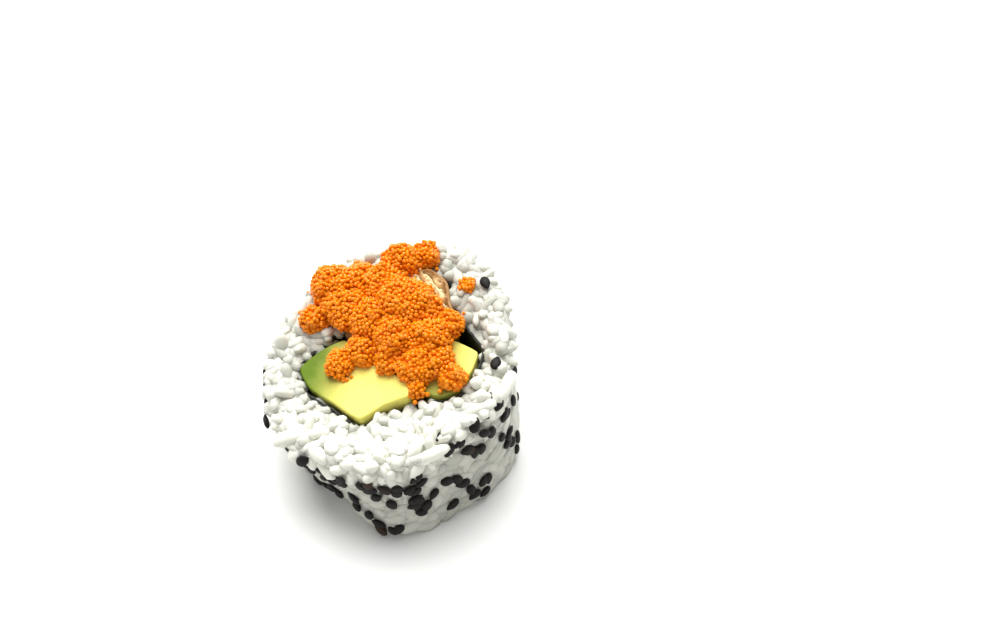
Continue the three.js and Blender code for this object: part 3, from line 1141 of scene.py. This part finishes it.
    def over_cut(self, draw: np.random.Generator) -> Laid:
        """Lays grains over the cut, in the ring of rice: lower and clearer near the nori, partly as painted
        shade, higher at the rim.

        Args:
            draw: the random numbers.

        Returns:
            Where the grains lie.
        """
        lot = self.on_cut
        square = 2 * np.stack([spread(lot.count, 0), spread(lot.count, 1)], 1) - 1
        plan = max(COLUMN.rim_radii) * square
        rim = COLUMN.radius(COLUMN.rim_radii, np.arctan2(plan[:, 1], plan[:, 0]))
        kept = np.hypot(*plan.T) < rim - self.rim_gap
        kept &= ~holds(closed_curve(NORI_OUTLINE, self.nori_steps, self.nori_gap), plan)
        kept &= self.outside_hollow(plan)
        plan, rim = plan[kept], rim[kept]
        nori = closed_curve(NORI_OUTLINE, 2 * self.nori_steps)
        away = np.linalg.norm(plan[:, None] - nori[None], axis=-1).min(1)
        out = smooth_step(away, *self.cut_rise_over)
        count = len(plan)
        stray = draw.normal(0, self.rim_turn_stray, count)
        along_rim = np.arctan2(plan[:, 1], plan[:, 0]) + np.pi + stray
        by_rim = np.hypot(*plan.T) > rim - self.rim_band
        turns = np.where(by_rim, along_rim, draw.uniform(0, TURN, count))
        height = COLUMN.face(*plan.T) + mix(*self.cut_rise, out) + draw.uniform(*lot.lift, count)
        height += lumps(np.column_stack([plan, height]), self.cut_lumps)
        places = np.column_stack([plan, height])
        normals = COLUMN.face_normal() + draw.normal(0, lot.stray, (count, 3))
        tilts = draw.normal(0, lot.tilt, count)
        # Painted light: the cut's grains are whiter towards the front.
        tones = mix(*lot.tones, out) + self.cut_painted_light * self.front(plan)
        tones = np.clip(tones + draw.normal(0, self.cut_tone_stray, count), 0, 1)
        return Laid(places, normals, turns, tilts, tones)

    def over_rim(self, draw: np.random.Generator) -> Laid:
        """Lays grains round the rim, on its rounding, so that they overhang the wall.

        Args:
            draw: the random numbers.

        Returns:
            Where the grains lie.
        """
        lot = self.on_rim
        angle = TURN * spread(lot.count, 0, self.rim_start)
        places, normals = COLUMN.outside(angle, draw.uniform(self.rim_share, 1.0, lot.count))
        lift = draw.uniform(*lot.lift, lot.count) + lumps(places, self.rim_lumps)
        places += normals * lift[:, None]
        # Painted light: the rim's grains are whiter towards the front.
        tones = draw.uniform(*lot.tones, lot.count) + self.rim_painted_light * self.front(places)
        turns = draw.uniform(0, TURN, lot.count)
        return Laid(places, normals, turns, draw.normal(0, lot.tilt, lot.count), tones)

    def beside_nori(self, draw: np.random.Generator) -> Laid:
        """Lays clear grains along the nori, their darker tone partly painted shade, some leaning over its
        edge.

        Args:
            draw: the random numbers.

        Returns:
            Where the grains lie.
        """
        lot = self.by_nori
        plan = closed_curve(NORI_OUTLINE, lot.count)
        ahead = unit(np.roll(plan, -1, 0) - np.roll(plan, 1, 0))
        out = np.stack([ahead[:, 1], -ahead[:, 0]], 1)
        plan = plan + out * draw.uniform(*self.nori_reach, (lot.count, 1))
        plan = plan[self.outside_hollow(plan)]
        count = len(plan)
        places = np.column_stack([plan, COLUMN.face(*plan.T) + draw.uniform(*lot.lift, count)])
        stray = draw.normal(0, self.nori_turn_stray, count)
        turns = np.arctan2(plan[:, 1], plan[:, 0]) - np.pi / 2 + stray
        normals = COLUMN.face_normal() + draw.normal(0, lot.stray, (count, 3))
        tones = draw.uniform(*lot.tones, count)
        return Laid(places, normals, turns, draw.normal(0, lot.tilt, count), tones)

    def protruding(self, draw: np.random.Generator) -> Laid:
        """Lays the few white grains that stick out.

        Args:
            draw: the random numbers.

        Returns:
            Where the grains lie.
        """
        x, y, lift, turn, tilt = np.array(PROTRUDING).T
        normals = np.repeat(COLUMN.face_normal()[None], len(x), 0)
        places = np.stack([x, y, COLUMN.face(x, y) + lift], 1)
        tones = draw.uniform(*self.protruding_tones, len(x))
        return Laid(places, normals, np.radians(turn - 90), np.radians(tilt), tones)


@dataclass
class Sesame:
    """The seeds pressed into the wall in rows, and two on the cut.

    A seed is a flattened ball, wide near one end and pointed at the other. It wanders from its row by
    some degrees round the wall and by a share of the height.
    """

    size: Size = (2.15, 3.15, 1.1)
    size_spread: Pair = (0.88, 1.1)
    wander: Pair = (3.5, 0.08)
    share_limits: Pair = (0.07, 0.98)
    lift: float = 0.4
    rim_lift: float = 0.55
    rim_lift_over: Pair = (0.75, 0.92)
    lowest: float = 1.7
    cut_places: Pairs = ((20.2, -3.6), (18.0, 15.4))
    cut_lift: float = 1.9
    tilt: float = 0.1
    point: float = 0.4
    blunt_from: float = -0.25
    slim: float = 0.15
    seed: int = 8

    def laid(self, draw: np.random.Generator) -> Laid:
        """Works out where the seeds lie.

        Args:
            draw: the random numbers.

        Returns:
            The seeds of the rows in their order, and then those of the cut.
        """
        rows = [np.linspace(row.start, row.end, row.count) for row in SEED_ROWS]
        scatters = np.concatenate([np.full((row.count, 1), row.scatter) for row in SEED_ROWS])
        strays = draw.normal(0, 1, (len(scatters), 2)) * scatters * np.array(self.wander)
        spots = np.concatenate(rows) + strays
        share = np.clip(spots[:, 1], *self.share_limits)
        places, normals = COLUMN.outside(np.radians(spots[:, 0]), share)
        places += normals * (self.lift + self.rim_lift * smooth_step(share, *self.rim_lift_over))[:, None]
        places[:, 2] = np.maximum(places[:, 2], self.lowest)
        plan = np.array(self.cut_places)
        on_cut = np.column_stack([plan, COLUMN.face(*plan.T) + self.cut_lift])
        places = np.concatenate([places, on_cut])
        normals = np.concatenate([normals, np.repeat(COLUMN.face_normal()[None], len(plan), 0)])
        count = len(places)
        turns = draw.uniform(0, TURN, count)
        tilts = draw.normal(0, self.tilt, count)
        return Laid(places, normals, turns, tilts, draw.uniform(0, 1, count))

    def surface(self) -> Surface:
        """Makes a seed at each place.

        Returns:
            All the seeds as one surface.
        """
        draw = np.random.default_rng(self.seed)
        laid = self.laid(draw)
        template = ball(*GRAIN_STEPS)
        shape = template.points.copy()
        shape[:, [0, 2]] *= 1 - self.point * np.clip(shape[:, 1:2], self.blunt_from, 1) ** 2
        shape[:, [0, 2]] *= 1 - self.slim * shape[:, 1:2]
        sizes = np.array(self.size) / 2 * draw.uniform(*self.size_spread, (len(laid.tones), 1))
        return laid.scattered(template, shape[None] * sizes[:, None])


@dataclass
class Rice:
    """The ring of rice: its core, its grains and the sesame in its wall."""

    core: Core = field(default_factory=Core)
    grains: Grains = field(default_factory=Grains)
    sesame: Sesame = field(default_factory=Sesame)

    def build(self) -> None:
        """Makes and dresses the core, the grains and the sesame."""
        rice, black = RiceFinish().make(), SesameFinish().make()
        for name, surface, finish in (
            ("rice_core", self.core.surface(), rice),
            ("rice_grains_pressed", self.grains.pressed(), rice),
            ("rice_grains_loose", self.grains.loose(), rice),
            ("black_sesame", self.sesame.surface(), black),
        ):
            settle(surface.to_object(name), finish, Node.RICE)


# ---- Fillings ------------------------------------------------------------------------------------
@dataclass
class Filling:
    """A filling that runs through the roll: an outline carried down the column, rounded at the cut."""

    outline: Pairs
    rounding: float = 0.5
    foot: float = 0.3
    proud: float = 0.5
    tension: float = 0.4
    around: int = 220
    upward: int = 16
    inward: int = 40
    round_bends: tuple[int, ...] = (18, 36, 54, 72, 90)
    last_share: float = 0.02

    def rise(self, x: Array, y: Array) -> Array:
        """Gives the height of its top over the cut."""
        return self.proud + 0 * x

    def top(self, plan: Array) -> Array:
        """Gives the height of its top over plan points."""
        return COLUMN.face(*plan.T) + self.rise(*plan.T)

    def surface(self) -> tuple[Array, Array]:
        """Works out the grid of points, up the side, over the rounded edge and in over the top.

        Returns:
            The grid, and the share of the way from the middle at each point, 1 on the side.
        """
        edge = closed_curve(self.outline, self.around, 0.0, self.tension)
        inset = closed_curve(self.outline, self.around, -self.rounding, self.tension)
        rows = []
        for share in np.linspace(0, 1, self.upward):
            height = mix(self.foot, self.top(edge) - self.rounding, share)
            rows.append(np.column_stack([COLUMN.down(edge, share), height]))
        for bend in np.radians(self.round_bends):
            back = -self.rounding * (1 - np.cos(bend))
            plan = closed_curve(self.outline, self.around, back, self.tension)
            rows.append(np.column_stack([plan, self.top(plan) - self.rounding * (1 - np.sin(bend))]))
        shares = [1.0] * len(rows)
        for share in np.linspace(1, self.last_share, self.inward)[1:]:
            plan = mix(edge.mean(0), inset, share)
            rows.append(np.column_stack([plan, self.top(plan)]))
            shares.append(share)
        return np.stack(rows), np.repeat(np.array(shares)[:, None], self.around, 1)


@dataclass
class Avocado(Filling):
    """An avocado slice, smooth and soft-edged."""

    rounding: float = 0.35
    tension: float = 0.26
    node: Node = Node.AVOCADO_LEFT
    side: str = "left"
    lumps: Lumps = (5, 31, 0.06)

    def green(self, grid: Array) -> Array:
        """Tells how green its points are, from 0 for yellow flesh to 1 by the skin."""
        return 0 * grid[..., 0]

    def build(self) -> None:
        """Makes and dresses the slice."""
        grid, share = self.surface()
        grid[..., 2] += lumps(grid, self.lumps) * (share < 1)
        # On the right slice the green number also holds painted shadow.
        made = ring_surface(grid, True, {"green": self.green(grid)})
        finish = AvocadoFinish(f"avocado_flesh_{self.side}").make()
        settle(made.to_object(f"avocado_slice_{self.side}"), finish, self.node)


@dataclass
class AvocadoLeft(Avocado):
    """The left avocado slice, which stands proud of the cut and turns green at its far left."""

    outline: Pairs = (
        (-19.3, 0.3), (-17, -4.5), (-11.9, -8.6), (-6.4, -13), (-1.6, -10.8), (3.2, -9.6), (3.8, -7.6),
        (0.8, -4.7), (-2.6, -1.4), (-6.6, 2.6), (-10.6, 5.6), (-15, 4.2),
    )
    proud: float = 0.6
    least_proud: float = 0.4
    slope: float = 0.12
    proud_at: float = -13.0
    green_over: Pair = (6.0, 17.5)
    green_lean: float = 0.25

    def rise(self, x: Array, y: Array) -> Array:
        """Gives the height of its top over the cut, more to the right."""
        return np.maximum(self.least_proud, self.proud + self.slope * (x - self.proud_at))

    def green(self, grid: Array) -> Array:
        """Tells how green its points are: more to the left, across a line that leans."""
        return smooth_step(self.green_lean * grid[..., 1] - grid[..., 0], *self.green_over)


@dataclass
class AvocadoRight(Avocado):
    """The right avocado slice, of a pale green, painted darker green at its front as the roe's shadow."""

    outline: Pairs = (
        (16.5, 0.3), (11.4, 3.7), (6, 4.7), (2.8, 0.6), (3.9, -4.2), (6.3, -7.8), (9.2, -9), (12.8, -8),
        (15.5, -3.7),
    )
    node: Node = Node.AVOCADO_RIGHT
    side: str = "right"
    lumps: Lumps = (5, 32, 0.06)
    green_base: float = 0.3
    # Painted shadow: the front, under the roe, is painted a darker green.
    front_shadow_green: float = 0.35
    front_over: Pair = (3.0, 9.0)
    right_yellow: float = 0.15
    right_over: Pair = (12.0, 16.0)

    def green(self, grid: Array) -> Array:
        """Tells how green its points are: more at the front, as painted shadow under the roe, and less at
        the right.
        """
        front = self.front_shadow_green * smooth_step(-grid[..., 1], *self.front_over)
        return self.green_base + front - self.right_yellow * smooth_step(grid[..., 0], *self.right_over)


@dataclass
class Prawn(Filling):
    """The battered prawn: flaky flesh in ridges that run across its cut, with a browned edge.

    Its flakes are bent sine ridges, sharp between and round on top, with finer fibres over them.
    """

    outline: Pairs = (
        (12.4, 6.2), (11.1, 11.4), (10.1, 16.6), (6.1, 20), (-0.5, 19.3), (-6.3, 14.7), (-10.3, 8.5),
        (-9.8, 6.2), (-5.4, 2.7), (-1, -1.2), (1.2, -1.8), (1.9, 1.6), (4.6, 5.6), (8.4, 5.6),
    )
    rounding: float = 0.6
    proud: float = 1.4
    proud_at: float = 10.0
    slope: float = 0.06
    around: int = 320
    inward: int = 110
    flake: float = 0.8
    ridge_rate: Pair = (1.3, 1.1)
    ridge_lumps: Lumps = (4, 41, 0.9)
    ridge_height: float = 1.5
    fibre_rate: float = 3.1
    fibre_lumps: Lumps = (2, 43, 0.8)
    fibre_height: float = 0.35
    rough_lumps: Lumps = (1.2, 42, 0.35)
    level: float = 0.9
    middle_calm: float = 0.1
    fibre_cleft_shade: float = 0.45
    crust: float = 0.95
    crust_over: Pair = (0.88, 0.97)

    def rise(self, x: Array, y: Array) -> Array:
        """Gives the height of its top over the cut, more to the back right."""
        return self.proud + self.slope * (x + y - self.proud_at)

    def build(self) -> None:
        """Makes and dresses the prawn."""
        grid, share = self.surface()
        wave = self.ridge_rate[0] * grid[..., 0] + self.ridge_rate[1] * grid[..., 1]
        wave += lumps(grid, self.ridge_lumps)
        ridge = np.abs(np.sin(wave))
        fibre = np.abs(np.sin(self.fibre_rate * wave + lumps(grid, self.fibre_lumps)))
        height = self.ridge_height * ridge + self.fibre_height * fibre - self.level
        height += lumps(grid, self.rough_lumps)
        grid[..., 2] += self.flake * height * (share < 1) * smooth_step(share, 0.0, self.middle_calm)
        # Painted shade: the clefts between the ridges and the fibres are coloured darker.
        numbers = {
            "cleft_shade": (1 - ridge) ** 3 + self.fibre_cleft_shade * (1 - fibre) ** 2,
            "crust": self.crust * smooth_step(share, *self.crust_over),
        }
        made = ring_surface(grid, True, numbers).to_object("battered_prawn_cut")
        settle(made, PrawnFinish().make(), Node.PRAWN)


@dataclass
class Nori:
    """The seaweed sheet: a thin closed ring, crinkled, a little over the cut beside the hollow."""

    thickness: float = 0.5
    foot: float = 0.3
    around: int = 420
    upward: int = 24
    drop: float = 0.2
    peak: float = 0.7
    peak_at: Pair = (15.0, 4.0)
    peak_width: float = 5.0
    wave: float = 0.2
    wave_rate: float = 1.3
    crinkles: Lumps = (1.8, 51, 0.22)

    def rise(self, plan: Array) -> Array:
        """Gives the height of the sheet's edge over the cut.

        Args:
            plan: rows of x and y.

        Returns:
            A level part, a peak that falls off evenly, a slow wave and crinkles, summed.
        """
        x, y = plan.T
        far = np.hypot(x - self.peak_at[0], y - self.peak_at[1]) / self.peak_width
        smooth = self.peak * np.exp(-far) - self.drop + self.wave * np.sin(self.wave_rate * x + y)
        return smooth + lumps(np.column_stack([plan, 0 * x]), self.crinkles)

    def build(self) -> None:
        """Makes and dresses the sheet, up its outside and down its inside."""
        up = np.linspace(0, 1, self.upward)
        rows = []
        for offset, shares in ((self.thickness, up), (0.0, up[::-1])):
            plan = closed_curve(NORI_OUTLINE, self.around, offset)
            top = COLUMN.face(*plan.T) + self.rise(plan)
            for share in shares:
                rows.append(np.column_stack([COLUMN.down(plan, share), mix(self.foot, top, share)]))
        made = ring_surface(np.stack(rows), False).to_object("nori_sheet")
        settle(made, NoriFinish().make(), Node.NORI)


# ---- Roe -----------------------------------------------------------------------------------------
# The clumps: x, y, the lift of the middle over the cut, half the width and half the height.
CLUMPS = np.array(
    [
        (-16.8, 10.6, 1.4, 3.4, 2.8), (-13.2, 17.4, 2.8, 5, 4), (-7.4, 18, 2.4, 4.4, 3.6),
        (-9.6, 11.4, 2.6, 5, 4), (-2.6, 15.6, 3, 5.4, 4.2), (0.8, 21.8, 2.8, 4.2, 3.4),
        (5.8, 23.4, 1.8, 3, 2.6), (-4.6, 8, 3, 5.2, 4.2), (2, 10.4, 4, 6, 4.6), (5.8, 8.8, 2.6, 4.2, 3.4),
        (11, 6.4, 1.6, 3.2, 2.6), (0.6, 3.6, 3.4, 5.2, 4.2), (7, 2.8, 2.6, 4.6, 3.8),
        (-6, 1.6, 2, 3.8, 2.8), (-10.8, -0.4, 1.6, 3.2, 2.6), (8.8, -2.2, 2, 3.6, 3),
        (11.6, -5.8, 1.6, 2.9, 2.4), (4.4, -3.4, 2.6, 4, 3), (-0.8, -1.2, 2.4, 3.2, 2.6),
        (4.4, -7.8, 1.8, 2, 1.9),
    ]
)
# The golden angle, in radians.
GOLDEN_ANGLE = 2.399963
# How many sides and rings a ball has, and which columns of a ball's row hold its reach in x, y and z.
EGG_STEPS = (7, 4)
CORE_STEPS = (14, 8)
REACH = [3, 3, 4]


@dataclass
class Roe:
    """The heap of roe: clumps on the cut with smaller knobs all over them, covered with eggs.

    Every clump and knob is a ball, kept as a row: its middle, how far it reaches across and how far it
    reaches up. An egg is left out where it lies deeper than `bared` in another ball. The crumb's spacing
    and stray are given in plan and in height.
    """

    egg_radius: float = 0.5
    egg_spread: Pair = (0.78, 1.1)
    egg_lift: Pair = (-0.42, 0.08)
    egg_area: float = 0.68
    egg_stray: float = 0.12
    bared: float = 0.94
    lowest: float = 0.4
    clump_inset: float = 0.3
    knobs: int = 13
    knob_size: Pair = (0.8, 1.9)
    knob_full_from: float = 3.4
    knob_upward: float = 0.4
    core_inset: float = 0.36
    core_lumps: Lumps = (1.6, 15, 0.05)
    core_tone: float = 0.35
    crumb_at: Pair = (14.2, 15.4)
    crumb_slots: tuple[int, int, int] = (5, 4, 2)
    crumb_spacing: Pair = (0.66, 0.6)
    crumb_stray: Pair = (0.16, 0.1)
    crumb_lift: float = 1.6
    stray_eggs: int = 26
    stray_gap: float = 0.6
    stray_lift: float = 1.2
    knob_seed: int = 14
    egg_seed: int = 13

    def balls(self) -> Array:
        """Works out the clumps and their knobs, which stand in random directions, more of them upwards.

        Returns:
            Rows of x, y, z, half width and half height, the clumps first.
        """
        draw = np.random.default_rng(self.knob_seed)
        x, y, lift = CLUMPS[:, :3].T
        clumps = np.column_stack([x, y, COLUMN.face(x, y) + lift, CLUMPS[:, 3:] - self.clump_inset])
        owners = np.repeat(clumps, self.knobs, 0)
        ways = unit(draw.normal(size=(len(owners), 3)) + np.array([0, 0, self.knob_upward]))
        size = draw.uniform(*self.knob_size, len(owners)) * np.minimum(1, owners[:, 3] / self.knob_full_from)
        reach = owners[:, REACH] - size[:, None] / 2
        return np.concatenate([clumps, np.column_stack([owners[:, :3] + ways * reach, size, size])])

    def deepest(self, balls: Array, points: Array, skip: int) -> Array:
        """Tells how deep points lie in the balls.

        Args:
            balls: the clumps and knobs.
            points: rows of x, y and z.
            skip: the ball that is left out.

        Returns:
            The smallest scaled distance to another ball's middle: 1 on its surface and less inside.
        """
        others = np.delete(balls, skip, 0)[None]
        return np.linalg.norm((points[:, None] - others[..., :3]) / others[..., REACH], axis=-1).min(1)

    def core(self) -> Surface:
        """Makes the heap's core: every ball just under its eggs, joined.

        Returns:
            All the balls as one surface.
        """
        template = ball(*CORE_STEPS)
        balls = self.balls()
        middles = balls[:, None, :3]
        shapes = template.points[None] * (balls[:, REACH] - self.core_inset)[:, None]
        shapes *= 1 + lumps(shapes + middles, self.core_lumps)[..., None]
        upright = np.repeat(np.eye(3)[None], len(balls), 0)
        tones = np.full(len(balls), self.core_tone)
        return scatter(template, shapes, upright, balls[:, :3], {"tone": tones})

    def around_ball(self, draw: np.random.Generator, one: Array) -> Array:
        """Spaces eggs over one ball on a spiral that steps evenly in height and turns by the golden angle.

        Args:
            draw: the random numbers.
            one: the ball's row.

        Returns:
            The eggs' places.
        """
        count = int(4 * np.pi * one[3] * (one[3] + one[4]) / 2 / self.egg_area)
        up = 1 - 2 * (np.arange(count) + 0.5) / count
        turn = GOLDEN_ANGLE * np.arange(count) + draw.uniform(0, TURN)
        flat = np.sqrt(1 - up**2)
        way = np.stack([flat * np.cos(turn), flat * np.sin(turn), up], 1)
        way = unit(way + draw.normal(0, self.egg_stray / one[3], (count, 3)))
        return one[:3] + way * (one[REACH] + draw.uniform(*self.egg_lift, (count, 1)))

    def eggs(self) -> Surface:
        """Covers the balls with eggs, and adds a crumb of eggs and a few strays.

        Returns:
            All the eggs as one surface.
        """
        draw = np.random.default_rng(self.egg_seed)
        balls = self.balls()
        places = []
        for index, one in enumerate(balls):
            spots = self.around_ball(draw, one)
            places.append(spots[self.deepest(balls, spots, index) > self.bared])
        spots = np.concatenate(places)
        spots = spots[spots[:, 2] > COLUMN.face(*spots[:, :2].T) + self.lowest]
        spots = np.concatenate([spots, self.crumb(draw), self.strays(draw)])
        count = len(spots)
        template = ball(*EGG_STEPS)
        radii = self.egg_radius * draw.uniform(*self.egg_spread, (count, 1, 1))
        normals = draw.normal(size=(count, 3))
        turns = draw.uniform(0, TURN, count)
        laid = Laid(spots, normals, turns, np.zeros(count), draw.uniform(0, 1, count))
        return laid.scattered(template, template.points[None] * radii)

    def crumb(self, draw: np.random.Generator) -> Array:
        """Lays a small slab of eggs on the rice beside the heap, in rows, columns and layers.

        Args:
            draw: the random numbers.

        Returns:
            The eggs' places.
        """
        columns, rows, layers = self.crumb_slots
        apart, above = self.crumb_spacing
        count = columns * rows * layers
        slot = np.arange(count)
        column, row, layer = slot % columns, slot // columns % rows, slot // (columns * rows)
        plan = np.stack([column - (columns - 1) / 2, row - (rows - 1) / 2], 1) * apart
        plan = plan + draw.normal(0, self.crumb_stray[0], (count, 2)) + np.array(self.crumb_at)
        lift = self.crumb_lift + above * layer + draw.normal(0, self.crumb_stray[1], count)
        return np.column_stack([plan, COLUMN.face(*plan.T) + lift])

    def strays(self, draw: np.random.Generator) -> Array:
        """Lays single eggs that rolled off the clumps' edges on to the cut.

        Args:
            draw: the random numbers.

        Returns:
            The eggs' places.
        """
        owners = CLUMPS[draw.integers(0, len(CLUMPS), self.stray_eggs)]
        turn = draw.uniform(0, TURN, self.stray_eggs)
        way = np.stack([np.cos(turn), np.sin(turn)], 1)
        plan = owners[:, :2] + (owners[:, 3:4] + self.stray_gap) * way
        return np.column_stack([plan, COLUMN.face(*plan.T) + self.stray_lift])

    def build(self) -> None:
        """Makes and dresses the core, which is dull, and the eggs, which are wet."""
        mass = RoeFinish("roe_mass", roughness=0.8, coat=0.0)
        wet = RoeFinish("fish_roe", roughness=0.12, coat=0.15)
        settle(self.core().to_object("roe_core"), mass.make(), Node.ROE)
        settle(self.eggs().to_object("roe_eggs"), wet.make(), Node.ROE)


# ---- Studio --------------------------------------------------------------------------------------
@dataclass
class Studio:
    """A white table, a bright even sky, one large soft light from behind, and the camera."""

    floor_size: float = 4000.0
    camera_at: Size = (21.8, -165.6, 247.1)
    camera_down: float = 52.0
    lens: float = 50.4
    film_width: float = 36.0
    near: float = 10.0
    sky: float = 0.5
    light_from: Size = (-45.0, 280.0, 430.0)
    light_angle: float = 58.0
    light_strength: float = 5.4

    def floor(self) -> None:
        """Lays the table top."""
        reach = self.floor_size / 2
        corners = reach * np.array([(-1, -1, 0), (1, -1, 0), (1, 1, 0), (-1, 1, 0)], float)
        table = Surface(corners, np.array([[0, 1, 2, 3]]), np.zeros((0, 3), int), {})
        made = table.to_object("table_top")
        made.data.materials.append(FloorFinish().make())

    def lights(self) -> None:
        """Sets the sky and the soft light."""
        world = bpy.data.worlds.new("even_sky")
        world.use_nodes = True
        background = world.node_tree.nodes["Background"]
        background.inputs["Color"].default_value = (1.0, 1.0, 1.0, 1.0)
        background.inputs["Strength"].default_value = self.sky
        bpy.context.scene.world = world
        lamp = bpy.data.lights.new("soft_light", "SUN")
        lamp.angle = np.radians(self.light_angle)
        lamp.energy = self.light_strength
        made = bpy.data.objects.new("soft_light", lamp)
        made.location = Vector(self.light_from) * MM
        made.rotation_euler = (-made.location).to_track_quat("-Z", "Y").to_euler()
        bpy.context.scene.collection.objects.link(made)

    def camera(self) -> None:
        """Places the camera, looking along +Y and down."""
        lens = bpy.data.cameras.new("camera")
        lens.lens = self.lens
        lens.sensor_width = self.film_width
        lens.clip_start = self.near * MM
        made = bpy.data.objects.new("camera", lens)
        made.location = Vector(self.camera_at) * MM
        made.rotation_euler = Euler((np.radians(90 - self.camera_down), 0, 0))
        bpy.context.scene.collection.objects.link(made)
        bpy.context.scene.camera = made

    def build(self) -> None:
        """Sets up the whole studio with a plain rendering of colours."""
        self.floor()
        self.lights()
        self.camera()
        bpy.context.scene.view_settings.view_transform = "Standard"


def main() -> None:
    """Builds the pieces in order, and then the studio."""
    logging.basicConfig(level=logging.INFO, format="%(name)s %(message)s")
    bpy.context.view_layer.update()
    for part in (Rice(), Nori(), AvocadoLeft(), AvocadoRight(), Prawn(), Roe(), Studio()):
        part.build()


if __name__ == "__main__":
    main()
